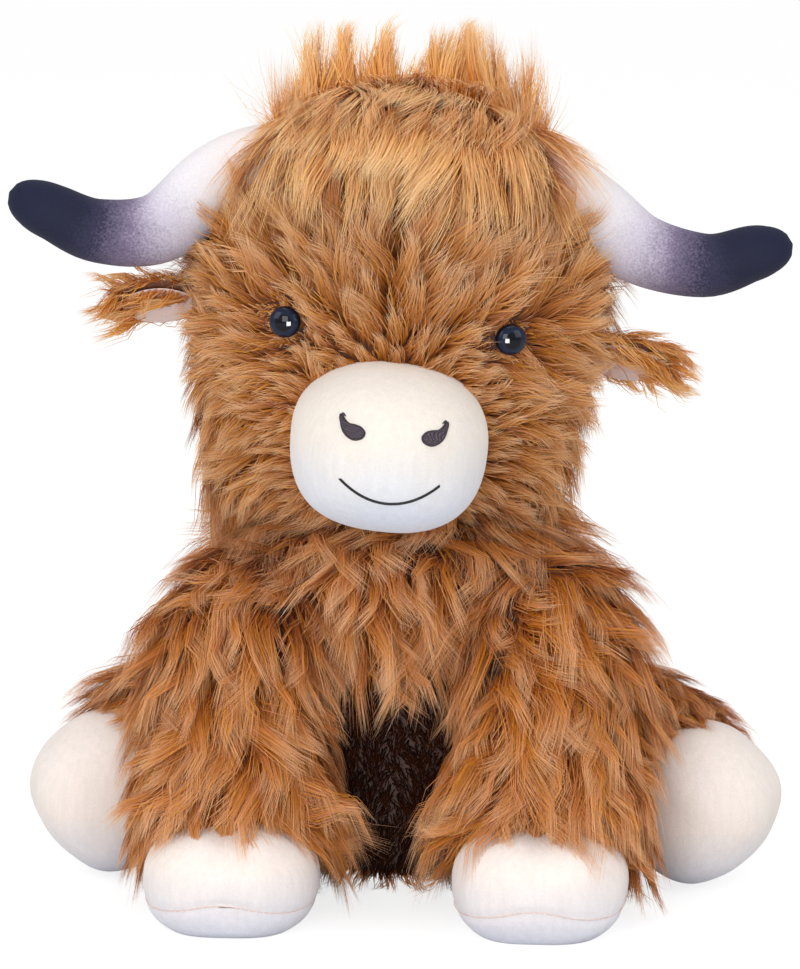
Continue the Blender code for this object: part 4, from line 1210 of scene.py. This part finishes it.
earHair = furLook | {
    "Strands per square metre": 1500000.0,
    "Lock spacing": 0.0048,
    "Length": 0.022,
    "Length spread": 0.30,
    "Droop": 0.12,
    "Tone": 0.50,
    "Lock scatter": 0.30,
}
for label, side, sign in sides:
    place = earFrame(side, sign)
    half = earLook["thickness"] / 2
    rows = smoothRows(earLook["outline"], 6)
    around = 40
    rings = []
    for way, wide in rows:
        ring = []
        for k in range(around):
            angle = math.tau * k / around
            lift = half * math.sin(angle) * (1 if math.sin(angle) > 0 else 0.35)
            hollow = -earLook["cup"] * (1 - math.cos(angle) ** 2) if math.sin(angle) < 0 else 0.0
            along = earLook["backStart"] + way * (earLook["length"] - earLook["backStart"])
            ring.append((along, max(wide, 0.02) * earLook["halfWidth"] * math.cos(angle), lift - hollow))
        rings.append(ring)
    mesh = closedTube("earBack" + label, rings)
    mesh.transform(place)
    back = newObject("earBack" + label, mesh, crownBacking)
    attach(back, f"ear_{side}")
    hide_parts(f"ear_back_{side}")

    # The lining, cupped a little
    liningLength = earLook["length"] - earLook["liningInset"] - earLook["liningStart"]
    rings = []
    for way, wide in rows:
        x = earLook["liningStart"] + way * liningLength
        broad = max(wide * earLook["halfWidth"] - earLook["liningInset"], 0.0004)
        ring = []
        for k in range(around):
            angle = math.tau * k / around
            across = math.cos(angle)
            cup = -half + earLook["cup"] * (1 - across * across)
            ring.append((x, broad * across, cup + 0.0009 * math.sin(angle) + 0.0004))
        rings.append(ring)
    mesh = closedTube("earLining" + label, rings)
    mesh.transform(place)
    lining = newObject("earLining" + label, mesh, liningVelour)
    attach(lining, f"ear_{side}")
    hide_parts(f"ear_lining_{side}")

    points, normals = pointsOf(back.data), normalsOf(back.data)
    turn = np.array(place.to_3x3())
    local = (points - np.array(place.translation)) @ turn
    localNormals = normals @ turn
    upEdge = 1.0 if (turn @ np.array([0, 1, 0]))[2] > 0 else -1.0
    rim = share(0.45, 0.85, np.abs(localNormals[:, 1]))
    over = share(0.35, 0.8, localNormals[:, 1] * upEdge)
    way = np.stack([np.full(len(points), 0.9), local[:, 1] * 26 * (1 - over), -1.3 * over], axis=1)
    direction = turnedBy(way @ turn.T, normals, wander(points, 0.015, 15 + sign) * 0.35)
    atTip = share(0.6, 0.9, local[:, 0] / earLook["length"])
    thick = share(-0.55, -0.1, localNormals[:, 2]) * (0.6 + 1.6 * over + atTip)
    shade = wander(points, 0.02, 16) * 0.1 - 0.05
    fields = (direction, 0.85 - 0.1 * over, thick, 0.6 + 0.25 * rim, 0.05 - 0.45 * over, shade)
    # The ears' hair takes the crown's paler fur: painted light on hair that the horns shade
    look = earHair | {"Seed": 51 + sign}
    growPile("earFur" + label, combed(back, *fields), f"ear_{side}", look, crownPile)
    # More hair lies over the lining's upper half
    points, normals = pointsOf(lining.data), normalsOf(lining.data)
    local = (points - np.array(place.translation)) @ turn
    upper = share(-0.15, 0.20, local[:, 1] * upEdge / earLook["halfWidth"])
    outer = share(0.55, 0.80, local[:, 0] / earLook["length"])
    thick = np.maximum(upper, outer) * share(0.1, 0.5, -(normals @ turn)[:, 2])
    way = np.stack([np.full(len(points), 1.0), -upEdge * 0.35 * upper, np.zeros(len(points))], axis=1)
    direction = turnedBy(way @ turn.T, normals, wander(points, 0.012, 19 + sign) * 0.4)
    fields = (direction, 0.75, thick, 0.45, 0.10, -0.08)
    look = earHair | {"Seed": 55 + sign}
    growPile("earFringe" + label, combed(lining, *fields), f"ear_{side}", look, crownPile)
print("ears done")

# Tail: a strap with a tuft
tailLook = {
    "path": (
        (0.0, 0.083, 0.064),
        (0.0, 0.0875, 0.062),
        (0.0, 0.0975, 0.053),
        (0.0, 0.1020, 0.040),
        (0.0, 0.1030, 0.030),
    ),
    "radius": 0.0040,
    "tuftCentre": (0.0, 0.1025, 0.0215),
    "tuftHalf": (0.0085, 0.0070, 0.0150),
}
rows = smoothRows(tailLook["path"], 6)
rings = []
for i, row in enumerate(rows):
    way = unit(np.array([rows[min(i + 1, len(rows) - 1)] - rows[max(i - 1, 0)]]))[0]
    across = np.array([1.0, 0, 0])
    up = np.cross(across, way)
    angles = np.linspace(0, math.tau, 17)[:-1]
    rings.append([row + tailLook["radius"] * (math.cos(a) * across + math.sin(a) * up) for a in angles])
strap = newObject("tailStrap", closedTube("tailStrap", rings), backing)
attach(strap, "tail")
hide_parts("tail_strap")


def power(value, exponent):
    return np.sign(value) * np.abs(value) ** exponent


# A stuffed pad about the origin, closed at both ends, flat at low or high where one is given
def padMesh(name, half, squareness, around=64, rings=40, low=None, high=None):
    start = -math.pi / 2 if low is None else math.asin(float(power(low / half[2], 1 / squareness)))
    end = math.pi / 2 if high is None else math.asin(float(power(high / half[2], 1 / squareness)))
    shape = bmesh.new()
    loops = []
    for i, lift in enumerate(np.linspace(start, end, rings + 1)):
        if (i == 0 and low is None) or (i == rings and high is None):
            loops.append([shape.verts.new((0, 0, -half[2] if i == 0 else half[2]))])
            continue
        wide = float(power(math.cos(lift), squareness))
        z = half[2] * float(power(math.sin(lift), squareness))
        ring = []
        for k in range(around):
            angle = math.tau * k / around
            x = half[0] * wide * float(power(math.cos(angle), squareness))
            y = half[1] * wide * float(power(math.sin(angle), squareness))
            ring.append(shape.verts.new((x, y, z)))
        loops.append(ring)
    for a, b in zip(loops, loops[1:]):
        for k in range(around):
            j = (k + 1) % around
            if len(a) == 1:
                shape.faces.new((a[0], b[j], b[k]))
            elif len(b) == 1:
                shape.faces.new((a[k], a[j], b[0]))
            else:
                shape.faces.new((a[k], a[j], b[j], b[k]))
    for loop in (loops[0], loops[-1]):
        if len(loop) > 1:
            shape.faces.new(loop)
    bmesh.ops.recalc_face_normals(shape, faces=shape.faces[:])
    mesh = bpy.data.meshes.new(name)
    shape.to_mesh(mesh)
    shape.free()
    mesh.shade_smooth()
    return mesh


mesh = padMesh("tailTuft", tailLook["tuftHalf"], 1.0, 32, 24)
putPoints(mesh, pointsOf(mesh) + np.array(tailLook["tuftCentre"]))
tuft = newObject("tailTuft", mesh, backing)
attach(tuft, "tail")
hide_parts("tail_tuft")
for part, name, look in (
    (strap, "tailStrapFur", {"Length": 0.012, "Strands per square metre": 1500000.0}),
    (tuft, "tailTuftFur", {"Length": 0.020, "Strands per square metre": 2200000.0}),
):
    points, normals = pointsOf(part.data), normalsOf(part.data)
    direction = turnedBy(np.tile([0.0, 0.0, -1.0], (len(points), 1)), normals, wander(points, 0.01, 17) * 0.4)
    reach = np.minimum(1.0, 0.35 + points[:, 2] / 0.03)
    fields = (direction, reach, 1.0, 0.7, 0.1, 0.0)
    look = furLook | look | {"Seed": 61, "Lock spacing": 0.004}
    growPile(name, combed(part, *fields), "tail", look, brownPile)
print("tail done")

# Muzzle, with its embroidery
mesh = padMesh("muzzle", muzzleLook["half"], muzzleLook["squareness"], 96, 64)
putPoints(mesh, fromHead(pointsOf(mesh) + muzzleMiddle))
putPoints(mesh, pointsOf(mesh) + normalsOf(mesh) * (wander(pointsOf(mesh), 0.03, 12) * 0.0006)[:, None])
muzzle = newObject("muzzle", mesh, muzzleVelour)
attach(muzzle, "head")
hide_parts("muzzle_cover")


# Turns every drawn line into a thread of that radius
def threadTree():
    tree, given, out = newTree(
        "sewnThread",
        (("Lines", "Geometry"), ("Thread radius", "Float"), ("Sides", "Int"), ("Material", "Material")),
        (("Thread", "Geometry"),),
    )
    lines = addNode(tree, "GeometryNodeMeshToCurve", {"Mesh": given["Lines"]}).outputs[0]
    links = {"Resolution": given["Sides"], "Radius": given["Thread radius"]}
    section = addNode(tree, "GeometryNodeCurvePrimitiveCircle", links).outputs[0]
    thread = addNode(
        tree, "GeometryNodeCurveToMesh", {"Curve": lines, "Profile Curve": section, "Fill Caps": True}
    ).outputs[0]
    thread = addNode(tree, "GeometryNodeRealizeInstances", {"Geometry": thread}).outputs[0]
    last = addNode(tree, "GeometryNodeSetMaterial", {"Geometry": thread, "Material": given["Material"]})
    tree.links.new(last.outputs[0], out["Thread"])
    return tree


sewnThread = threadTree()


# The mesh of threads along lines, each a list of points in the row frame
def sewn(name, lines, radius, material, sides=6):
    mesh = bpy.data.meshes.new(name + "Lines")
    rows, edges = [], []
    for line in lines:
        edges += [(len(rows) + i, len(rows) + i + 1) for i in range(len(line) - 1)]
        rows += [tuple(p) for p in line]
    mesh.from_pydata(rows, edges, [])
    holder = newObject(name + "Lines", mesh)
    thread = holder.modifiers.new("Thread", "NODES")
    thread.node_group = sewnThread
    given = {"Thread radius": radius, "Sides": sides, "Material": material}
    for item in sewnThread.interface.items_tree:
        if item.item_type == "SOCKET" and item.in_out == "INPUT" and item.name in given:
            thread[item.identifier] = given[item.name]
    made = finished(holder)
    throwAway(holder)
    made.shade_smooth()
    return made


# One mesh from several, each with its own material
def joined(name, meshes, materials):
    shape = bmesh.new()
    for i, mesh in enumerate(meshes):
        start = len(shape.faces)
        shape.from_mesh(mesh)
        shape.faces.ensure_lookup_table()
        for face in shape.faces[start:]:
            face.material_index = i
            face.smooth = True
    mesh = bpy.data.meshes.new(name)
    shape.to_mesh(mesh)
    shape.free()
    piece = newObject(name, mesh)
    for material in materials:
        mesh.materials.append(material)
    return piece


def threadMaterial(name, colour, fleck, share_):
    material, tree, shader = newMaterial(name)
    place = addNode(tree, "ShaderNodeTexCoord").outputs["Object"]
    grain = addNode(tree, "ShaderNodeTexNoise", {"Vector": place, "Scale": 2600.0, "Detail": 2.0}).outputs[0]
    band = ramp(tree, grain, ((1 - share_ - 0.12, colour), (1 - share_ + 0.12, fleck)))
    tree.links.new(band, shader.inputs["Base Color"])
    shader.inputs["Roughness"].default_value = 0.5
    shader.inputs["Specular IOR Level"].default_value = 0.3
    shader.inputs["Sheen Weight"].default_value = 0.08
    return material


darkThread = threadMaterial("nostrilEdgeThread", painted(44, 36, 44), painted(84, 72, 84), 0.35)
plumThread = threadMaterial("nostrilThread", painted(66, 50, 66), painted(150, 128, 150), 0.42)
blackThread = threadMaterial("smileThread", painted(12, 12, 20), painted(34, 34, 46), 0.3)
muzzleTree = BVHTree.FromObject(muzzle, bpy.context.evaluated_depsgraph_get())
headForward = Vector(headTurn @ np.array([0.0, 1.0, 0.0]))


# The point of the muzzle's front at that place in the head's width and height, lifted by rise
def onMuzzle(x, z, rise=0.0):
    start = Vector(fromHead(np.array([[x, -0.2, z]]))[0])
    spot, normal, _, _ = muzzleTree.ray_cast(start, headForward)
    return np.array(spot + normal * rise)


nostrilLook = {
    "spread": 0.0150,
    "rise": 0.0121,
    "scale": (0.92, 0.78),
    "outline": (
        (-5.4, 7.0), (-3.8, 4.9), (-2.1, 3.6), (0.4, 3.4), (2.9, 2.6), (4.5, 0.6), (4.2, -1.4), (2.9, -2.9),
        (0.3, -3.8), (-2.2, -3.1), (-4.2, -1.4), (-5.3, 0.7), (-5.9, 3.1), (-6.4, 5.3), (-6.1, 6.8),
    ),
    # The pad's rings: their share of the outline and their height over the muzzle
    "pad": ((1.0, -0.0008), (1.0, 0.0002), (0.85, 0.00045), (0.6, 0.0006), (0.35, 0.0006), (0.08, 0.0006)),
    "thread": 0.00017,
    "gap": 0.00034,
    "stitch": 0.0016,
    "shortest": 0.0004,
    "margin": 0.0003,
    "edgeBow": 0.00095,
    "fillBow": 0.00085,
}


# A stitch from a to b on the muzzle that bows up over the pad below it
def stitchAcross(a, b, bow, steps=4):
    line = []
    for t in np.linspace(0, 1, steps + 1):
        x, z = a + (b - a) * t
        line.append(onMuzzle(x, z, bow * math.sin(math.pi * t) ** 0.6 - 0.0002))
    return line


for label, side, sign in sides:
    centre = np.array([sign * nostrilLook["spread"], muzzleMiddle[2] + nostrilLook["rise"]])
    wider, taller = nostrilLook["scale"]
    corner = [np.array([-sign * x * wider, z * taller]) * 0.001 for x, z in nostrilLook["outline"]]
    corner = [*corner, corner[0]]
    outline = np.array(smoothRows(corner, 8)[:-1])
    rings = [[onMuzzle(*(centre + p * size), rise) for p in outline] for size, rise in nostrilLook["pad"]]
    pad = closedTube("nostrilPad", rings)
    steps = np.linalg.norm(np.roll(outline, -1, axis=0) - outline, axis=1)
    total = steps.sum()
    count = int(total / nostrilLook["gap"])
    travelled = np.concatenate([[0], np.cumsum(steps)])
    closed = np.vstack([outline, outline[:1]])
    edge = []
    for k in range(count):
        at = total * k / count
        spot = np.array([np.interp(at, travelled, closed[:, j]) for j in (0, 1)])
        ahead = np.array([np.interp((at + 0.0004) % total, travelled, closed[:, j]) for j in (0, 1)])
        way = (ahead - spot) / max(np.linalg.norm(ahead - spot), 1e-9)
        inward = np.array([-way[1], way[0]])
        if inward @ spot > 0:
            inward = -inward
        inward = inward + way * 0.35
        ends = centre + spot - inward * 0.0001, centre + spot + inward * 0.0009
        edge.append(stitchAcross(*ends, nostrilLook["edgeBow"]))
    # The filling: rows of stitches across the nostril
    fill = []
    slant = np.array([0.94, 0.34 * -sign])
    slant /= np.linalg.norm(slant)
    upright = np.array([-slant[1], slant[0]])
    heights = outline @ upright
    level = heights.min() + 0.0004
    row = 0
    margin, stitch = nostrilLook["margin"], nostrilLook["stitch"]
    while level < heights.max() - margin:
        crossings = []
        for a, b in zip(outline, np.roll(outline, -1, axis=0)):
            u, v = a @ upright - level, b @ upright - level
            if (u < 0) != (v < 0):
                crossings.append(float((a + (b - a) * (u / (u - v))) @ slant))
        crossings.sort()
        for start, end in zip(crossings[::2], crossings[1::2]):
            at = start + margin - stitch * (row % 3) / 3
            while at < end - margin:
                low, high = max(at, start + margin), min(at + stitch, end - margin)
                if high - low > nostrilLook["shortest"]:
                    ends = [centre + slant * spot + upright * level for spot in (low, high)]
                    fill.append(stitchAcross(*ends, nostrilLook["fillBow"]))
                at += stitch
        level += nostrilLook["gap"] * 1.1
        row += 1
    thread = nostrilLook["thread"]
    piece = joined(
        "nostril" + label,
        (pad, sewn("edge", edge, thread, darkThread, 5), sewn("fill", fill, thread, plumThread, 5)),
        (darkThread, darkThread, plumThread),
    )
    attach(piece, "head")
    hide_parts(f"nostril_{side}")

smileLook = {
    "halfWidth": 0.0190,
    "rise": -0.0063,
    "sag": 0.0080,
    "thread": 0.00036,
    "stitch": 0.00018,
    "stitchHalf": 0.00062,
    "stitchBow": 0.00068,
    "gap": 0.00036,
}


# A place on the smile, from -1 at its left end to 1 at its right
def onSmile(t):
    z = muzzleMiddle[2] + smileLook["rise"] - smileLook["sag"] * (1 - t * t)
    return np.array([smileLook["halfWidth"] * t, z])


line = [onMuzzle(*onSmile(t), 0.0001) for t in np.linspace(-1, 1, 61)]
slanted = []
count = int(2.25 * smileLook["halfWidth"] / smileLook["gap"])
for t in np.linspace(-1, 1, count):
    spot = onSmile(t)
    way = unit(np.array([[smileLook["halfWidth"], 2 * smileLook["sag"] * t]]))[0]
    slope = (way * 0.6 + np.array([-way[1], way[0]]) * 0.8) * smileLook["stitchHalf"]
    slanted.append(stitchAcross(spot - slope, spot + slope, smileLook["stitchBow"]))
threads = (
    sewn("smileCore", [line], smileLook["thread"], blackThread, 8),
    sewn("smileStitches", slanted, smileLook["stitch"], blackThread, 5),
)
piece = joined("smile", threads, (blackThread, blackThread))
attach(piece, "head")
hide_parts("mouth_stitching")
print("muzzle done")

# Eyes: glossy domes on shanks


def eyeMaterial():
    material, tree, shader = newMaterial("eyeGloss")
    ring = addNode(tree, "ShaderNodeAttribute", attribute_name="eyeRing").outputs["Fac"]
    band = ramp(
        tree,
        ring,
        (
            (0.0, painted(6, 7, 12)),
            (0.48, painted(9, 11, 20)),
            (0.62, painted(26, 36, 60)),
            (0.88, painted(20, 28, 50)),
            (1.0, painted(8, 10, 18)),
        ),
    )
    tree.links.new(band, shader.inputs["Base Color"])
    shader.inputs["Roughness"].default_value = 0.04
    shader.inputs["IOR"].default_value = 1.45
    shader.inputs["Specular IOR Level"].default_value = 0.35
    return material


eyeGloss = eyeMaterial()
headHalf = {"width": 0.08268, "front": 0.07444}  # of the head's own egg at the eyes' height
for label, side, sign in sides:
    x = sign * eyeLook["spread"]
    y = -headHalf["front"] * math.sqrt(1 - (x / headHalf["width"]) ** 2)
    outward = eyeLook["outward"] * x / headHalf["width"] ** 2
    looks = Vector((outward, y / headHalf["front"] ** 2, 0)).normalized()
    base = Vector((x, y, eyeLook["rise"])) - looks * eyeLook["sink"]
    place = headFrame @ Matrix.Translation(base) @ looks.to_track_quat("Z", "Y").to_matrix().to_4x4()
    cad = pointsOf(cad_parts[f"eye_{side}"].data)
    deep = ((cad - np.array(place.translation)) @ np.array(place.to_3x3()))[:, 2].min()
    radius, shank, rim, dome = [eyeLook[key] for key in ("radius", "shank", "rim", "dome")]
    profile = [(shank, deep), (shank, 0.0), (radius - 0.0003, 0.0), (radius, 0.0003), (radius, rim)]
    for step in range(1, 15):
        angle = math.pi / 2 * step / 15
        profile.append((radius * math.cos(angle), rim + (dome - rim) * math.sin(angle)))
    profile.append((0.00005, dome))
    rounds = [math.tau * k / 48 for k in range(48)]
    rings = [[(r * math.cos(angle), r * math.sin(angle), z) for angle in rounds] for r, z in profile]
    mesh = closedTube("eye" + label, rings)
    addField(mesh, "eyeRing", [math.hypot(*v.co[:2]) / eyeLook["radius"] for v in mesh.vertices])
    mesh.transform(place)
    eye = newObject("eye" + label, mesh, eyeGloss)
    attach(eye, "head")
    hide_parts(f"eye_{side}")
print("eyes done")

# Hooves: a velour upper and sole that meet in a sewn seam
seamLook = {"thread": 0.00017, "stitchBow": 0.00042, "cord": 0.0005, "cordDepth": 0.00045}
seamThread = threadMaterial("hoofSeamThread", painted(236, 200, 186), painted(246, 226, 216), 0.4)
for label, side, sign in sides:
    for kind, look, turn, body in (
        ("front", frontHoofLook, Matrix.Identity(3), f"front_leg_{side}"),
        ("hind", hindHoofLook, hindHoofTurn(sign), f"hind_leg_{side}"),
    ):
        centre = np.array([sign * look["centre"][0], *look["centre"][1:]])
        seam = look["seam"] - look["centre"][2] if kind == "front" else -look["seam"]
        base = -look["centre"][2] if kind == "front" else None
        groove = look["groove"]

        # How far the seam rises at those places round the hoof
        def seamWave(rows):
            if kind == "hind":
                return np.zeros(len(rows))
            angle = np.arctan2(rows[:, 0] / look["half"][0], -rows[:, 1] / look["half"][1])
            dips = np.exp(-(((np.abs(angle) - 0.9) / 0.4) ** 2))
            return look["seamRise"] * np.exp(-((angle / 0.42) ** 2)) - 0.0008 * dips

        for part, low, high in (("Upper", seam + look["split"], None), ("Sole", base, seam - look["split"])):
            mesh = padMesh(f"{kind}Hoof{part}{label}", look["half"], 0.84, 96, 44, low, high)
            rows = pointsOf(mesh)
            near = np.exp(-(((rows[:, 2] - seam) / 0.0024) ** 2))
            wide = np.exp(-(((rows[:, 2] - seam) / 0.0075) ** 2))
            rows[:, 2] += seamWave(rows) * wide
            rows[:, :2] *= (1 - groove * near)[:, None]
            if kind == "front":
                # A soft crease down the middle of the hoof's front
                facing = -rows[:, 1] / look["half"][1] + rows[:, 2] / look["half"][2]
                crease = np.exp(-((rows[:, 0] / 0.0042) ** 2)) * share(0.2, 0.8, facing)
                rows[:, 1] += crease * look["crease"] * share(seam, seam + 0.012, rows[:, 2])
                rows[:, 2] -= crease * look["crease"] * share(0.0, 0.018, rows[:, 2])
            rows = rows @ np.array(turn).T + centre
            putPoints(mesh, rows)
            lumps = wander(rows, 0.017, 19 + sign) * 0.0005
            resting = share(0.0, 0.004, rows[:, 2]) if kind == "front" else 1.0
            putPoints(mesh, rows + normalsOf(mesh) * (lumps * resting)[:, None])
            mesh.set_sharp_from_angle(angle=math.radians(60))
            hoof = newObject(f"{kind}Hoof{part}{label}", mesh, hoofVelour)
            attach(hoof, body)
            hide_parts(f"{kind}_hoof_{part.lower()}_{side}")
        if kind == "hind":
            continue
        # Short stitches along the seam
        stitches = []
        ring = padMesh("seamGuide", look["half"], 0.84, 72, 4, seam - 0.0001, seam + 0.0001)
        guide = pointsOf(ring)[72:144]
        bpy.data.meshes.remove(ring)
        guide[:, :2] *= 1 - groove
        guide[:, 2] = seam + seamWave(guide)
        guide = guide @ np.array(turn).T + centre
        for k in range(72):
            a, b = guide[k], guide[(k + 1) % 72]
            out = unit(np.array([(a + b) / 2 - centre]))[0]
            line = []
            for t in (0.08, 0.3, 0.5, 0.7, 0.92):
                rise = seamLook["stitchBow"] * math.sin(math.pi * t) + 0.0001
                line.append(a + (b - a) * t + out * rise)
            stitches.append(line)
        # A cord in the hoof's own colour fills the seam
        inner = guide + unit(centre - guide) * seamLook["cordDepth"]
        cord = sewn("hoofCord", [[*inner, inner[0]]], seamLook["cord"], hoofVelour, 6)
        parts = (cord, sewn("hoofStitch", stitches, seamLook["thread"], seamThread, 5))
        piece = joined(f"{kind}HoofSeam{label}", parts, (hoofVelour, seamThread))
        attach(piece, body)
print("hooves done")

# Horns
hornLook = {
    "rootPath": ((0.042, -0.002, 0.066), (0.061, -0.003, 0.062), (0.0763, -0.004, 0.0538)),
    "tipPaths": {
        "left": (
            (0.0960, -0.005, 0.0353),
            (0.1200, -0.007, 0.0324),
            (0.1380, -0.009, 0.0385),
            (0.1480, -0.0105, 0.0424),
        ),
        "right": (
            (0.0957, -0.005, 0.0416),
            (0.1210, -0.007, 0.0377),
            (0.1385, -0.009, 0.0440),
            (0.1465, -0.0105, 0.0468),
        ),
    },
    "radii": (0.0168, 0.0161, 0.0153, 0.0141, 0.0127, 0.0112, 0.0104),
    "tip": 0.0088,
    "rounding": 0.0165,
}


def hornMaterial():
    material, tree, shader = newMaterial("hornVelour")
    way = addNode(tree, "ShaderNodeAttribute", attribute_name="hornShare").outputs["Fac"]
    place = addNode(tree, "ShaderNodeTexCoord").outputs["Object"]
    cloud = addNode(tree, "ShaderNodeTexNoise", {"Vector": place, "Scale": 60.0, "Detail": 4.0}).outputs[0]
    fleck = addNode(tree, "ShaderNodeTexNoise", {"Vector": place, "Scale": 1100.0, "Detail": 2.0}).outputs[0]
    way = sums(tree, "ADD", way, sums(tree, "MULTIPLY_ADD", cloud, 0.10, -0.05))
    way = sums(tree, "ADD", way, sums(tree, "MULTIPLY_ADD", fleck, 0.16, -0.08))
    band = ramp(
        tree,
        way,
        (
            (0.0, painted(250, 240, 234)),
            (0.34, painted(238, 234, 240)),
            (0.47, painted(206, 198, 216)),
            (0.59, painted(128, 116, 144)),
            (0.70, painted(52, 50, 78)),
            (0.80, painted(26, 29, 56)),
            (1.0, painted(22, 27, 56)),
        ),
    )
    nap = addNode(tree, "ShaderNodeTexNoise", {"Vector": place, "Scale": 1500.0, "Detail": 3.0}).outputs[0]
    shade = addNode(tree, "ShaderNodeMapRange", {0: nap, 3: 0.86, 4: 1.1}).outputs[0]
    tree.links.new(scaled(tree, band, shade), shader.inputs["Base Color"])
    addBump(tree, shader, nap, 0.0005, 0.4)
    shader.inputs["Roughness"].default_value = 0.85
    shader.inputs["Specular IOR Level"].default_value = 0.2
    shader.inputs["Sheen Weight"].default_value = 0.06
    return material


hornVelour = hornMaterial()
for label, side, sign in sides:
    path = hornLook["rootPath"] + hornLook["tipPaths"][side]
    rows = smoothRows([(sign * x, y, z, r) for (x, y, z), r in zip(path, hornLook["radii"])], 8)
    rings, shares = [], []

    def hornRing(centre, way, radius, value):
        level = np.array([0.0, 1.0, 0.0])
        level = unit(np.array([level - (level @ way) * way]))[0]
        upWay = np.cross(way, level)
        angles = np.linspace(0, math.tau, 41)[:-1]
        rings.append([centre + radius * (math.cos(a) * level + math.sin(a) * upWay) for a in angles])
        shares.append(value)

    # The path runs on past its last point, and its end is rounded off
    way = unit((rows[-1] - rows[-2])[None, :3])[0]
    last = rows[-1].copy()
    for step in range(1, 7):
        rows.append(np.array([*(last[:3] + way * hornLook["tip"] * step / 6), last[3]]))
    steps = [np.linalg.norm((b - a)[:3]) for a, b in zip(rows, rows[1:])]
    travelled = np.concatenate([[0], np.cumsum(steps)])
    left = travelled[-1] - travelled
    for i, row in enumerate(rows):
        way = unit(np.array([rows[min(i + 1, len(rows) - 1)][:3] - rows[max(i - 1, 0)][:3]]))[0]
        before = np.clip(1 - left[i] / hornLook["rounding"], 0, 1)
        hornRing(row[:3], way, max(row[3] * math.sqrt(1 - before**2.2), 0.0004), travelled[i] / travelled[-1])
    mesh = closedTube("horn" + label, rings)
    addField(mesh, "hornShare", np.repeat(shares, 40))
    putPoints(mesh, fromHead(pointsOf(mesh)))
    horn = newObject("horn" + label, mesh, hornVelour)
    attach(horn, "head")
    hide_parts(f"horn_{side}")
print("horns done")

# What stays inside: stuffing, pellet bag and washers
fibre = clothMaterial("stuffingFibre", painted(240, 240, 238), painted(206, 206, 204))
cotton = clothMaterial("cottonBag", painted(226, 218, 200), painted(196, 186, 166))
washer = clothMaterial("washerPlastic", painted(232, 232, 228), painted(214, 214, 210))
for name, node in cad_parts.items():
    finish = fibre if "filling" in name else cotton if "bag" in name else washer if "washer" in name else None
    if finish:
        node.data.materials.clear()
        node.data.materials.append(finish)

# Floor, light and camera
stageLook = {"floorSize": 30.0, "floorTone": 0.80, "floorShare": 0.34, "floorGlow": 0.80, "world": 0.54}


def raysThatSee(tree):
    rays = tree.nodes.new("ShaderNodeLightPath").outputs
    return sums(tree, "MAXIMUM", rays["Is Camera Ray"], rays["Is Transmission Ray"])


bpy.ops.mesh.primitive_plane_add(size=stageLook["floorSize"])
floor = bpy.context.active_object
floor.name = "studioFloor"
material, tree, shader = newMaterial("studioPaper")
seen = raysThatSee(tree)
tones = {3: stageLook["floorTone"], 4: stageLook["floorShare"]}
colour = addNode(tree, "ShaderNodeMapRange", {0: seen} | tones).outputs[0]
tree.links.new(colour, shader.inputs["Base Color"])
shader.inputs["Roughness"].default_value = 1.0
shader.inputs["Specular IOR Level"].default_value = 0.0
shader.inputs["Emission Color"].default_value = (1, 1, 1, 1)
tree.links.new(sums(tree, "MULTIPLY", seen, stageLook["floorGlow"]), shader.inputs["Emission Strength"])
floor.data.materials.append(material)

world = bpy.data.worlds.new("studioAir")
bpy.context.scene.world = world
world.use_nodes = True
tree = world.node_tree
air = tree.nodes["Background"]
air.inputs["Color"].default_value = (1, 1, 1, 1)
level = addNode(tree, "ShaderNodeMapRange", {0: raysThatSee(tree), 3: stageLook["world"], 4: 1.0})
tree.links.new(level.outputs[0], air.inputs["Strength"])

lamps = (
    ("frontLamp", (-0.25, -1.7, 0.65), 0.80, 9.2),
    ("leftLamp", (-1.3, -0.9, 1.1), 1.1, 6.8),
    ("rightLamp", (1.4, -0.8, 0.9), 1.1, 6.4),
    ("topLamp", (0.1, 0.1, 1.8), 1.2, 6.0),
)
for name, place, size, strength in lamps:
    lamp = bpy.data.lights.new(name, "AREA")
    lamp.size = size
    lamp.energy = strength
    holder = bpy.data.objects.new(name, lamp)
    bpy.context.scene.collection.objects.link(holder)
    holder.location = place
    holder.rotation_euler = (Vector((0, 0, 0.17)) - Vector(place)).to_track_quat("-Z", "Y").to_euler()

# A small bright lamp that only shiny things see, for the glint in each eye
glintLook = {"at": (0.085, -0.76, 0.115), "towards": (0, -0.07, 0.236), "size": 0.26, "strength": 9.0}
lamp = bpy.data.lights.new("glintLamp", "AREA")
lamp.size = glintLook["size"]
lamp.energy = glintLook["strength"]
glint = bpy.data.objects.new("glintLamp", lamp)
bpy.context.scene.collection.objects.link(glint)
glint.location = glintLook["at"]
toEyes = Vector(glintLook["towards"]) - Vector(glintLook["at"])
glint.rotation_euler = toEyes.to_track_quat("-Z", "Y").to_euler()
glint.visible_camera = False
glint.visible_diffuse = False
glint.visible_transmission = False

cameraLook = {
    "azimuth": 4.95,
    "elevation": 10.17,
    "distance": 2.49,
    "aim": (-0.0013, 0.0, 0.1622),
    "lens": 229.7,
    "sensor": 36.0,
}
azimuth, elevation = math.radians(cameraLook["azimuth"]), math.radians(cameraLook["elevation"])
camera = bpy.data.objects.new("camera", bpy.data.cameras.new("camera"))
bpy.context.scene.collection.objects.link(camera)
aim = Vector(cameraLook["aim"])
flat = math.cos(elevation)
back = Vector((math.sin(azimuth) * flat, -math.cos(azimuth) * flat, math.sin(elevation)))
camera.location = aim + back * cameraLook["distance"]
camera.rotation_euler = (-back).to_track_quat("-Z", "Y").to_euler()
camera.data.lens = cameraLook["lens"]
camera.data.sensor_width = cameraLook["sensor"]
bpy.context.scene.camera = camera
bpy.context.scene.view_settings.view_transform = "Standard"

print("fur triangles", pileCount[0])
